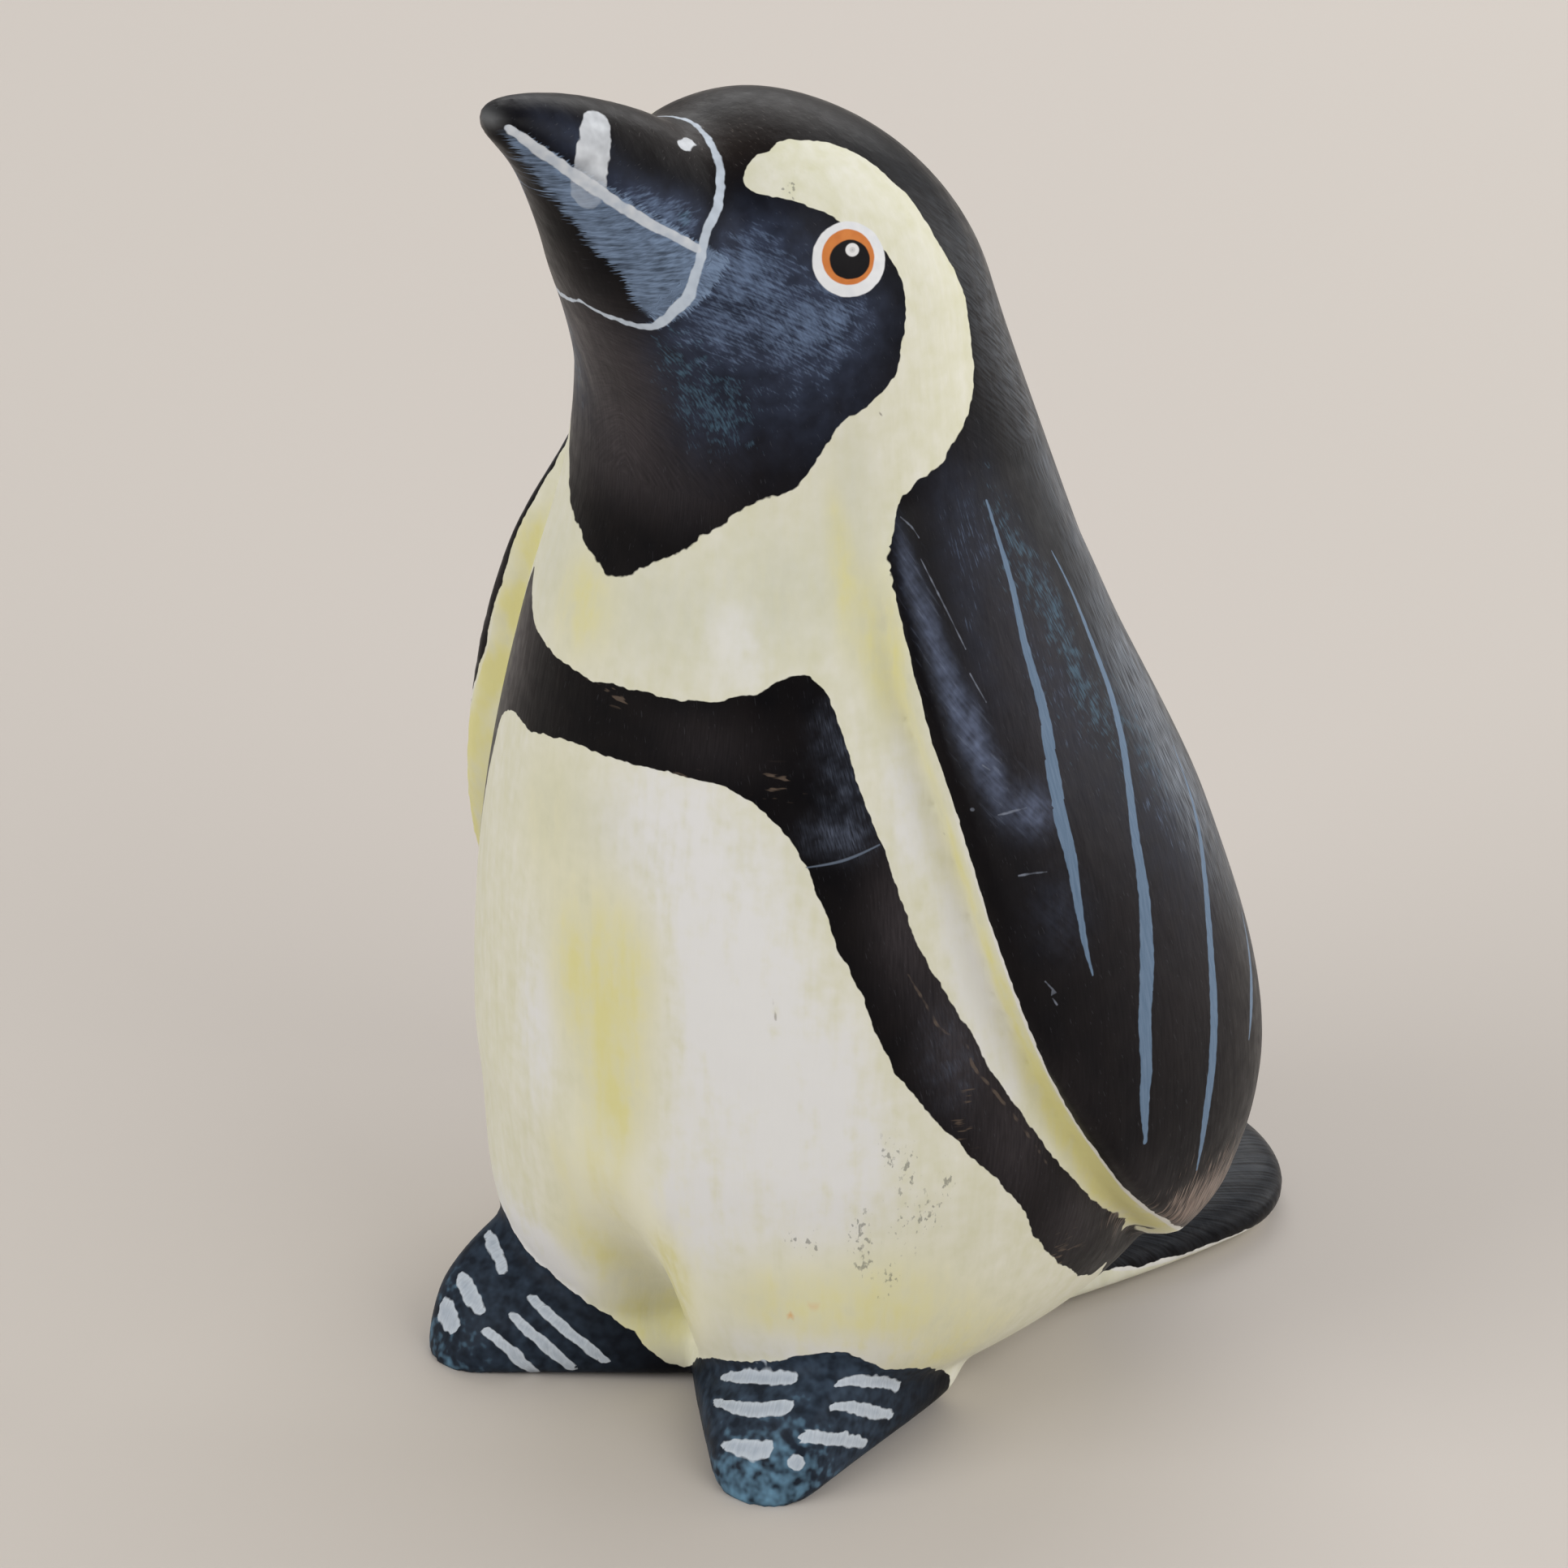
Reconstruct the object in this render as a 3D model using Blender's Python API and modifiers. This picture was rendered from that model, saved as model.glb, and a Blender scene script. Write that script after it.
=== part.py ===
# A fired-clay penguin figurine that looks up, in one solid piece.
# It stands on the floor plane at z = 0, faces -Y, and its left side is +X.
# Trunk and head are one lofted form, and the beak, wings, tail and feet are lofts that
# sink into it, as modelled clay is pressed together and its joins are wiped smooth.
import math

import bmesh
import bpy
import numpy as np

MM = 0.001

# Trunk and head: heights above the floor, then half width, reach forward and reach back
# of each cross-section. Between them the surface follows smooth curves. From the head up
# these sizes close in a dome on the crown, and from the belly down in a bowl.
CROWN_HEIGHT = 87.6 * MM
BELLY = {"height": 22.0 * MM, "half_width": 24.7 * MM, "front": 25.8 * MM, "back": 22.0 * MM}
WAIST = {"height": 38.0 * MM, "half_width": 22.4 * MM, "front": 25.6 * MM, "back": 18.4 * MM}
CHEST = {"height": 53.0 * MM, "half_width": 17.9 * MM, "front": 23.6 * MM, "back": 11.8 * MM}
NECK = {"height": 64.0 * MM, "half_width": 14.4 * MM, "front": 21.3 * MM, "back": 8.0 * MM}
HEAD = {"height": 75.0 * MM, "half_width": 12.7 * MM, "front": 21.5 * MM, "back": 3.7 * MM}
CROWN = {"height": CROWN_HEIGHT, "half_width": 12.0 * MM, "front": 23.2 * MM, "back": -0.6 * MM}
UNDERSIDE = {"half_width": 7.5 * MM, "front": 15.5 * MM, "back": 7.0 * MM}
SECTION_ROUNDNESS = 2.15  # 2 is an ellipse, more is squarer
BOWL_ROUNDNESS = 1.8  # the same for the curve from the belly down to the underside

# Thighs: two soft swellings low on the front, and the crease between them
THIGH_BULGE = 2.7 * MM
THIGH_ANGLE = 42.0  # degrees round from the front
THIGH_SPREAD = 24.0
THIGH_TOP = 19.0 * MM
THIGH_FADE = 15.0 * MM
CREASE_DEPTH = 4.6 * MM
CREASE_SPREAD = 7.5  # degrees

# Beak: a short thick cone that points up and a little to the penguin's right
BEAK_LENGTH = 14.2 * MM
BEAK_TILT = 39.0  # degrees above the level
HEAD_TURN = 9.0  # degrees to the penguin's right
BEAK_ROOT_FORWARD = 20.7 * MM
BEAK_ROOT_HEIGHT = 81.4 * MM
HEAD_AXIS_FORWARD = 8.0 * MM
# Along the beak, as shares of its length from its base line: how far its surface lies above,
# below and beside its axis. Shares under 0 are the flare that it grows out of the head with.
BEAK_ABOVE = (
    (-0.9, 9.6 * MM),
    (-0.3, 7.9 * MM),
    (0.0, 6.8 * MM),
    (0.35, 5.7 * MM),
    (0.65, 4.3 * MM),
    (0.85, 2.9 * MM),
    (1.0, 1.5 * MM),
)
BEAK_BELOW = (
    (-0.9, 15.0 * MM),
    (-0.6, 11.1 * MM),
    (-0.3, 8.2 * MM),
    (0.0, 6.0 * MM),
    (0.2, 4.3 * MM),
    (0.4, 2.8 * MM),
    (0.6, 1.5 * MM),
    (1.0, 0.2 * MM),
)
BEAK_BESIDE = (
    (-0.9, 10.0 * MM),
    (-0.6, 10.4 * MM),
    (-0.3, 9.1 * MM),
    (0.0, 6.9 * MM),
    (0.35, 4.8 * MM),
    (0.65, 3.2 * MM),
    (0.85, 2.1 * MM),
    (1.0, 1.4 * MM),
)
BEAK_ROUND_END = 0.1  # share of the length that the rounded tip takes

# Wings: height, angle of the front edge and of the rear edge round from the front in
# degrees, and how far the front lip stands off the trunk
WING = (
    (9.4 * MM, 106.0, 112.0, 0.4 * MM),
    (10.6 * MM, 101.0, 124.0, 2.1 * MM),
    (12.0 * MM, 97.5, 131.0, 2.7 * MM),
    (15.0 * MM, 90.0, 138.0, 2.8 * MM),
    (20.0 * MM, 81.0, 144.0, 2.8 * MM),
    (27.0 * MM, 72.0, 147.0, 2.9 * MM),
    (34.0 * MM, 66.5, 150.0, 2.9 * MM),
    (42.0 * MM, 64.0, 152.0, 3.0 * MM),
    (50.0 * MM, 61.5, 152.0, 2.8 * MM),
    (57.0 * MM, 59.5, 146.0, 1.9 * MM),
    (62.0 * MM, 61.0, 130.0, 0.6 * MM),
    (65.5 * MM, 70.0, 95.0, -0.6 * MM),
)
WING_LIP_ROUNDING = 1.1 * MM
WING_ROOT_DEPTH = 1.6 * MM  # how deep the wing is set in the trunk
WING_LOOSE_END = 18.0 * MM  # below this height the rear edge stands off too
WING_JOINED_FROM = 34.0 * MM  # above this height the rear fades into the back
WING_LOOSE_POWER = 4  # how late the loose rear edge thins out
WING_JOINED_POWER = 1  # the same where it fades evenly
WING_SINK_POWER = 8  # how late the rear edge sinks in

# Tail: a flat round paddle
TAIL = {"start": 4.0 * MM, "end": 31.9 * MM, "half_width": 14.8 * MM, "swing": 2.2 * MM}
TAIL_THICKNESS = 5.4 * MM
TAIL_HEIGHT = 1.5 * MM  # of its middle layer, at the tip
TAIL_RISE = 0.6 * MM  # how much higher the middle layer is at the root
TAIL_ROOT_SHARE = 0.88  # of its width, where it leaves the trunk
TAIL_ROUND_FROM = 0.6  # share of the length where the plan starts to round
TAIL_THIN_FROM = 0.8  # share of the length where the edge starts to thin
TAIL_SQUARENESS = 0.8  # power of its oval section, 1 is an ellipse

# Feet: rounded wedges, splayed, with a toe at the outer front
# The right foot is set further forward and turned out more than the left one. side is +1 for
# the penguin's left, out and forward place the root, and splay is in degrees.
LEFT_FOOT = {"side": 1, "out": 7.2 * MM, "forward": 12.8 * MM, "splay": 26.0}
RIGHT_FOOT = {"side": -1, "out": 7.2 * MM, "forward": 13.5 * MM, "splay": 29.0}
FOOT_LENGTH = 15.7 * MM
FOOT_WIDTH = 18.2 * MM
FOOT_HEIGHT = 8.3 * MM
TOE_HEIGHT = 2.2 * MM
FOOT_ARCH = 3.5  # how late the top drops towards the toe
FOOT_TILT = 0.32  # how much higher the outer side stands, as a share
FOOT_TAPER = 0.72  # share of the width that is gone at the toe
FOOT_BURIED = 4.0 * MM  # how far it runs back under the trunk
FOOT_ROUND_END = 0.14  # share of the length that the rounded toe takes
FOOT_TAPER_POWER = 1.15  # over 1 the sides bow out
FOOT_WIDEST = 0.45  # share of the height where a section is widest
FOOT_SIDE_POWER = 0.7
FOOT_TOP_POWER = 0.8
FOOT_SOLE_POWER = 0.45  # under 1 the sole spreads flat

# Fineness of the surface
CLAY_GRAIN = 0.5 * MM
WIPING_PASSES = 9
FACET_SHARE = 0.055
SANDED_OFF = 0.4 * MM  # how far the clay reached below the floor before it was sanded flat
ROW_CROWDING = 0.6  # how much closer the trunk's rows lie near its two ends
BENCH_WIDTH = 200 * MM
BENCH_DEPTH = 20 * MM


def curve(stations, at, level_start=False):
    """The smooth curve through (position, value) pairs, with averaged slopes."""
    x, y = np.array(sorted(stations), float).T
    at = np.clip(np.asarray(at, float), x[0], x[-1])
    step = np.diff(x)
    slope = np.diff(y) / step
    tangent = np.empty_like(x)
    tangent[0] = 0 if level_start else slope[0]
    tangent[-1] = slope[-1]
    tangent[1:-1] = (slope[:-1] * step[1:] + slope[1:] * step[:-1]) / (step[1:] + step[:-1])
    i = np.clip(np.searchsorted(x, at, side="right") - 1, 0, len(step) - 1)
    t = (at - x[i]) / step[i]
    rise = t * t * (3 - 2 * t)
    start, end = t * (1 - t) ** 2, t * t * (t - 1)
    return y[i] + (y[i + 1] - y[i]) * rise + step[i] * (tangent[i] * start + tangent[i + 1] * end)


def power(value, exponent):
    """value to a power, keeping its sign."""
    return np.sign(value) * np.abs(value) ** exponent


def hill(value, centre, width):
    return np.exp(-(((value - centre) / width) ** 2))


def rounded_end(share, start):
    """1 up to the start, then a quarter ellipse down to 0 at the end."""
    return np.sqrt(1 - np.clip((share - start) / (1 - start), 0, 1) ** 2)


def trunk_section(z):
    """Half width, middle (along Y) and half depth of the trunk or head at height z."""
    rings = (BELLY, WAIST, CHEST, NECK, HEAD, CROWN)
    half_width, front, back = (
        curve([(ring["height"], ring[key]) for ring in rings], z, level_start=True)
        for key in ("half_width", "front", "back")
    )
    drop = np.clip(1 - z / BELLY["height"], 0, 1)
    bowl = (1 - drop**BOWL_ROUNDNESS) ** (1 / BOWL_ROUNDNESS)
    half_width = UNDERSIDE["half_width"] + (half_width - UNDERSIDE["half_width"]) * bowl
    front = UNDERSIDE["front"] + (front - UNDERSIDE["front"]) * bowl
    back = UNDERSIDE["back"] + (back - UNDERSIDE["back"]) * bowl
    climb = np.clip((z - HEAD["height"]) / (CROWN_HEIGHT - HEAD["height"]), 0, 1)
    dome = np.sqrt(1 - climb**2)
    return half_width * dome, (back - front) / 2, (front + back) / 2 * dome


def trunk_point(angle, z, standoff=0.0):
    """The trunk's surface at an angle (degrees round from the front, towards +X) and a
    height, moved out by a standoff. Thighs and the crease between them are added low down."""
    half_width, middle, half_depth = trunk_section(z)
    side = np.abs((angle + 180) % 360 - 180)
    low = np.clip((THIGH_TOP - z) / THIGH_FADE, 0, 1)
    low = low * low * (3 - 2 * low)
    thighs = THIGH_BULGE * hill(side, THIGH_ANGLE, THIGH_SPREAD)
    crease = CREASE_DEPTH * hill(side, 0, CREASE_SPREAD)
    out = standoff + low * (thighs - crease)
    turn = np.radians(angle)
    x = (half_width + out) * power(np.sin(turn), 2 / SECTION_ROUNDNESS)
    y = middle - (half_depth + out) * power(np.cos(turn), 2 / SECTION_ROUNDNESS)
    return np.stack(np.broadcast_arrays(x, y, z), -1)


def trunk():
    angle = np.linspace(0, 360, 96, endpoint=False)[None, :]
    share = np.linspace(0, 1, 91)[:, None]
    ease = ROW_CROWDING * (0.5 - 0.5 * np.cos(math.pi * share)) + (1 - ROW_CROWDING) * share
    rows = trunk_point(angle, ease * CROWN_HEIGHT)
    rows[0, :, 2] = -SANDED_OFF
    return rows


def beak():
    """Cross-sections along the beak's axis, from inside the head to the rounded tip."""
    flare = BEAK_ABOVE[0][0]
    blunt = 1 - BEAK_ROUND_END
    share = np.concatenate([np.linspace(flare, blunt, 37), np.linspace(blunt, 1, 9)[1:]])[:, None]
    above, below, beside = (curve(shape, share) for shape in (BEAK_ABOVE, BEAK_BELOW, BEAK_BESIDE))
    tip = rounded_end(share, blunt)
    turn = np.linspace(0, 2 * math.pi, 48, endpoint=False)[None, :]
    x = beside * tip * np.cos(turn)
    lift = (above - below) / 2 + (above + below) / 2 * tip * np.sin(turn)
    tilt = math.radians(BEAK_TILT)
    along = BEAK_LENGTH * share
    y = -BEAK_ROOT_FORWARD - along * math.cos(tilt) + lift * math.sin(tilt)
    z = BEAK_ROOT_HEIGHT + along * math.sin(tilt) + lift * math.cos(tilt)
    yaw = math.radians(-HEAD_TURN)
    forward = y + HEAD_AXIS_FORWARD
    turned_x = x * math.cos(yaw) - forward * math.sin(yaw)
    turned_y = x * math.sin(yaw) + forward * math.cos(yaw) - HEAD_AXIS_FORWARD
    return np.stack(np.broadcast_arrays(turned_x, turned_y, z), -1)


def wing(side):
    """A leaf that wraps the flank: its front lip stands off the trunk, and its rear edge
    sinks into the back. Each row is one closed level section."""
    height, *columns = zip(*WING)
    share = np.linspace(0, 1, 81)[:, None]
    z = height[0] + (height[-1] - height[0]) * (0.5 - 0.5 * np.cos(math.pi * share))
    front, rear, lip = (curve(zip(height, column), z) for column in columns)
    rear = np.maximum(rear, front + 1)
    turn = np.linspace(0, 2 * math.pi, 72, endpoint=False)[None, :]
    chord = (1 - np.cos(turn)) / 2
    angle = front + (rear - front) * chord
    half_width, _, half_depth = trunk_section(z)
    behind = np.radians(angle - front) * (half_width + half_depth) / 2
    joined = np.clip((z - WING_LOOSE_END) / (WING_JOINED_FROM - WING_LOOSE_END), 0, 1)
    thinning = WING_LOOSE_POWER + (WING_JOINED_POWER - WING_LOOSE_POWER) * joined
    outer = lip * (1 - chord**thinning) - WING_ROOT_DEPTH * chord**WING_SINK_POWER
    middle = (lip - WING_ROOT_DEPTH) / 2
    edge = np.sqrt(1 - (1 - np.clip(behind / WING_LIP_ROUNDING, 0, 1)) ** 2)
    standoff = middle + (np.where(np.sin(turn) >= 0, outer, -WING_ROOT_DEPTH) - middle) * edge
    rows = trunk_point(angle, z, standoff)
    return mirrored(rows) if side < 0 else rows


def tail():
    """Cross-sections from inside the trunk to the round end of the paddle."""
    share = np.linspace(0, 1, 49)[:, None]
    y = TAIL["start"] + (TAIL["end"] - TAIL["start"]) * np.sin(math.pi / 2 * share)
    along = (y - TAIL["start"]) / (TAIL["end"] - TAIL["start"])
    widening = np.sin(math.pi / 2 * np.clip(along / TAIL_ROUND_FROM, 0, 1))
    spread = TAIL_ROOT_SHARE + (1 - TAIL_ROOT_SHARE) * widening
    plan = spread * rounded_end(along, TAIL_ROUND_FROM)
    edge = rounded_end(along, TAIL_THIN_FROM)
    turn = np.linspace(0, 2 * math.pi, 48, endpoint=False)[None, :]
    x = TAIL["swing"] * along + TAIL["half_width"] * plan * power(np.cos(turn), TAIL_SQUARENESS)
    layer = TAIL_HEIGHT + TAIL_RISE * (1 - along)
    z = layer + TAIL_THICKNESS / 2 * edge * power(np.sin(turn), TAIL_SQUARENESS)
    return np.stack(np.broadcast_arrays(x, y, z), -1)


def foot(place):
    """Cross-sections from under the trunk to the toe, each with a flat sole."""
    share = np.linspace(0, 1, 45)[:, None]
    along = -FOOT_BURIED + (FOOT_LENGTH + FOOT_BURIED) * np.sin(math.pi / 2 * share)
    reach = np.clip(along / FOOT_LENGTH, 0, 1)
    toe = rounded_end(reach, 1 - FOOT_ROUND_END)
    half_width = FOOT_WIDTH / 2 * (1 - FOOT_TAPER * reach**FOOT_TAPER_POWER) * toe
    height = (TOE_HEIGHT + (FOOT_HEIGHT - TOE_HEIGHT) * (1 - reach**FOOT_ARCH)) * toe
    turn = np.linspace(0, 2 * math.pi, 56, endpoint=False)[None, :]
    across = power(np.cos(turn), FOOT_SIDE_POWER)
    up = np.abs(np.sin(turn))
    top = FOOT_WIDEST + (1 - FOOT_WIDEST) * up**FOOT_TOP_POWER
    sole = FOOT_WIDEST * (1 - up**FOOT_SOLE_POWER)
    z = height * (1 + FOOT_TILT * across) * np.where(np.sin(turn) >= 0, top, sole) - SANDED_OFF
    across = half_width * across
    splay = math.radians(place["splay"])
    x = place["out"] + along * math.sin(splay) + across * math.cos(splay)
    y = -place["forward"] - along * math.cos(splay) + across * math.sin(splay)
    rows = np.stack(np.broadcast_arrays(x, y, z), -1)
    return mirrored(rows) if place["side"] < 0 else rows


def mirrored(rows):
    """The same rows for the other side, with their points in the opposite order."""
    return (rows * (-1, 1, 1))[:, ::-1]


def add_loft(shape, rows):
    """Adds a closed skin over rows of points, with a flat face at each end."""
    count = rows.shape[1]
    rings = [[shape.verts.new(point) for point in row] for row in rows]
    for lower, upper in zip(rings, rings[1:]):
        for i in range(count):
            j = (i + 1) % count
            shape.faces.new((lower[i], lower[j], upper[j], upper[i]))
    shape.faces.new(rings[0][::-1])
    shape.faces.new(rings[-1])


def painted_clay():
    material = bpy.data.materials.new("painted_clay")
    material.use_nodes = True
    shader = material.node_tree.nodes["Principled BSDF"]
    shader.inputs["Base Color"].default_value = (0.66, 0.64, 0.50, 1.0)
    shader.inputs["Roughness"].default_value = 0.42
    shader.inputs["Metallic"].default_value = 0.0
    return material


def clear_scene():
    for item in list(bpy.data.objects):
        bpy.data.objects.remove(item, do_unlink=True)


def collection(name):
    made = bpy.data.collections.new(name)
    bpy.context.scene.collection.children.link(made)
    return made


def bench_block(cutters):
    """The block below the floor plane that trims the underside and the soles flat."""
    bpy.ops.mesh.primitive_cube_add(size=1, location=(0, 0, -BENCH_DEPTH / 2))
    block = bpy.context.object
    block.name = "bench_block"
    size = (BENCH_WIDTH, BENCH_WIDTH, BENCH_DEPTH, 1)
    block.data.transform(block.matrix_basis @ block.matrix_basis.Diagonal(size))
    block.matrix_basis.identity()
    block.hide_render = True
    block.display_type = "WIRE"
    for owner in list(block.users_collection):
        owner.objects.unlink(block)
    cutters.objects.link(block)
    return block


def build():
    clear_scene()
    parts = collection("ceramic_penguin")
    cutters = collection("cutters")
    block = bench_block(cutters)
    shape = bmesh.new()
    for rows in (trunk(), beak(), wing(1), wing(-1), tail(), foot(LEFT_FOOT), foot(RIGHT_FOOT)):
        add_loft(shape, rows)
    mesh = bpy.data.meshes.new("penguin")
    shape.to_mesh(mesh)
    shape.free()
    mesh.shade_smooth()
    mesh.materials.append(painted_clay())
    penguin = bpy.data.objects.new("penguin", mesh)
    parts.objects.link(penguin)

    clay = penguin.modifiers.new("one_piece_of_clay", "REMESH")
    clay.mode = "VOXEL"
    clay.voxel_size = CLAY_GRAIN
    clay.use_smooth_shade = True
    wiped = penguin.modifiers.new("wiped_joins", "SMOOTH")
    wiped.factor = 0.5
    wiped.iterations = int(WIPING_PASSES)
    facets = penguin.modifiers.new("facets", "DECIMATE")
    facets.ratio = FACET_SHARE
    sanded = penguin.modifiers.new("sanded_underside", "BOOLEAN")
    sanded.operation = "DIFFERENCE"
    sanded.solver = "EXACT"
    sanded.object = block


build()
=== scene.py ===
import math

import bpy
import numpy as np
from mathutils import Matrix


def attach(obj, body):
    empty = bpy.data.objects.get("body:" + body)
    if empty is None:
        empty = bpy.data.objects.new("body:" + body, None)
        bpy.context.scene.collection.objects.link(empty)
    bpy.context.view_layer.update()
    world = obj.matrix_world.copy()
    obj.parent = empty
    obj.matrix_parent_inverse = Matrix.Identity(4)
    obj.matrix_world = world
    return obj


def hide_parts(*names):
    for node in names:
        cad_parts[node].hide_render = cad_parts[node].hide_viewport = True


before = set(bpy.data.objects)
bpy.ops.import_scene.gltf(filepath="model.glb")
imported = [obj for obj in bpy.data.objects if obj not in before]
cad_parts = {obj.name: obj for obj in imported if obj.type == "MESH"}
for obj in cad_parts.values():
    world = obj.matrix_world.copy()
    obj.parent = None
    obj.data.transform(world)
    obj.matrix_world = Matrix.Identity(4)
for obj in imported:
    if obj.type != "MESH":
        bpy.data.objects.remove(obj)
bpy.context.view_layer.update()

# The looks of a small painted clay penguin. Every length in this file is in millimetres until
# a mesh is filled, and angles on the body run round from the front, towards the left flipper.
metre = 0.001


# Small helpers

# The smooth curve through (position, value) pairs, with averaged slopes at the pairs
def smoothCurve(pairs, at, levelStart=False):
    x, y = np.array(sorted(pairs), float).T
    at = np.clip(np.asarray(at, float), x[0], x[-1])
    step = np.diff(x)
    slope = np.diff(y) / step
    tangent = np.empty_like(x)
    tangent[0] = 0 if levelStart else slope[0]
    tangent[-1] = slope[-1]
    tangent[1:-1] = (slope[:-1] * step[1:] + slope[1:] * step[:-1]) / (step[1:] + step[:-1])
    i = np.clip(np.searchsorted(x, at, side="right") - 1, 0, len(step) - 1)
    t = (at - x[i]) / step[i]
    rise = t * t * (3 - 2 * t)
    return (y[i] + (y[i + 1] - y[i]) * rise
            + step[i] * (tangent[i] * t * (1 - t) ** 2 + tangent[i + 1] * t * t * (t - 1)))


def keepSign(value, exponent):
    return np.sign(value) * np.abs(value) ** exponent


def hill(value, centre, width):
    return np.exp(-(((value - centre) / width) ** 2))


# 0 below low, 1 above high, and an S between them
def ease(value, low, high):
    t = np.clip((value - low) / (high - low), 0, 1)
    return t * t * (3 - 2 * t)


# 1 up to start, then down a quarter ellipse to 0 at 1, followed so far as end says
def roundedEnd(share, start, end=1):
    return np.sqrt(1 - np.clip((share - start) / (1 - start), 0, end) ** 2)


def stacked(x, y, z):
    return np.stack(np.broadcast_arrays(x, y, z), -1)


# Angles of the points round a ring of the beak, the tail or a foot
ringTurn = np.linspace(0, 2 * math.pi, 96, endpoint=False)[None, :]


# The body: trunk and head in one, with both flippers raised on it

bodyShape = {
    "crown": 87.6,
    "rings": (  # height, half width, reach forward, reach back
        (22, 24.7, 25.8, 22), (38, 22.4, 25.6, 18.4), (53, 17.9, 23.6, 11.8),
        (64, 14.4, 21.3, 8), (75, 12.7, 21.5, 3.7), (87.6, 12, 23.2, -0.6),
    ),
    "domeFrom": 75,
    "underside": (7.5, 15.5, 7),  # half width, forward, back
    "squareness": 2.15,
    "bowl": 1.8,
    "below": 0.4,  # clay under the floor, sanded off
    "paintMargin": 0.4,  # below the crown, where every section still has a width
    "rows": 230,
    "rowCrowding": 0.6,  # how much closer the rows lie near both ends
}

thighShape = {
    "bulge": 2.7, "angle": 42, "spread": 24, "top": 19, "fade": 15,
    "creaseDepth": 4.6, "creaseSpread": 7.5,
}

flipperShape = {
    "stations": (  # height, front edge and rear edge in degrees, height of the lip
        (9.4, 106, 112, 0.4), (10.6, 101, 124, 2.1), (12, 97.5, 131, 2.7),
        (15, 90, 138, 2.8), (20, 81, 144, 2.8), (27, 72, 147, 2.9),
        (34, 66.5, 150, 2.9), (42, 64, 152, 3), (50, 61.5, 152, 2.8),
        (57, 59.5, 146, 1.9), (62, 61, 130, 0.6), (65.5, 70, 95, 0),
    ),
    "lipRound": 1.1,
    "looseBelow": 8,
    "joinedAbove": 54,
    "tipFade": (9.2, 9.9),  # heights between which the lip starts, and where it ends
    "shoulderFade": (62.5, 65.5),
    "loosePower": 4,  # how late the rear thins out where it is loose, and where it is joined
    "joinedPower": 1,
    "sinkPower": 8,
    "grooveDepth": 0.7,
    "grooveWidth": 2,
    "columns": {"before": 70, "lip": 10, "outer": 60, "behind": 34},
}


# Half width, middle and half depth of the level section at height z. Between rings they
# follow smooth curves. Under the belly they close as a bowl and over the head as a dome.
def bodySection(z):
    shape = bodyShape
    rings = shape["rings"]
    halfWidth, front, back = (
        smoothCurve([(ring[0], ring[k]) for ring in rings], z, True) for k in (1, 2, 3)
    )
    drop = np.clip(1 - z / rings[0][0], 0, 1)
    bowl = (1 - drop ** shape["bowl"]) ** (1 / shape["bowl"])
    underWidth, underFront, underBack = shape["underside"]
    halfWidth = underWidth + (halfWidth - underWidth) * bowl
    front = underFront + (front - underFront) * bowl
    back = underBack + (back - underBack) * bowl
    climb = np.clip((z - shape["domeFrom"]) / (shape["crown"] - shape["domeFrom"]), 0, 1)
    dome = np.sqrt(1 - climb**2)
    return halfWidth * dome, (back - front) / 2, (front + back) / 2 * dome


# How far thighs and the crease between them move the surface out at an angle and a height
def thighRise(angle, z):
    shape = thighShape
    side = np.abs((angle + 180) % 360 - 180)
    low = ease(-z, -shape["top"], shape["fade"] - shape["top"])
    thighs = shape["bulge"] * hill(side, shape["angle"], shape["spread"])
    return low * (thighs - shape["creaseDepth"] * hill(side, 0, shape["creaseSpread"]))


# The body's surface at an angle and a height: a superellipse, moved out by a standoff
def bodyPoint(angle, z, standoff=0.0):
    halfWidth, middle, halfDepth = bodySection(z)
    out = standoff + thighRise(angle, z)
    turn = np.radians(angle)
    squareness = 2 / bodyShape["squareness"]
    x = (halfWidth + out) * keepSign(np.sin(turn), squareness)
    y = middle - (halfDepth + out) * keepSign(np.cos(turn), squareness)
    return stacked(x, y, z)


# A flipper's front edge, rear edge and lip at height z
def flipperSection(z):
    return [smoothCurve([(row[0], row[k]) for row in flipperShape["stations"]], z) for k in (1, 2, 3)]


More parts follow.
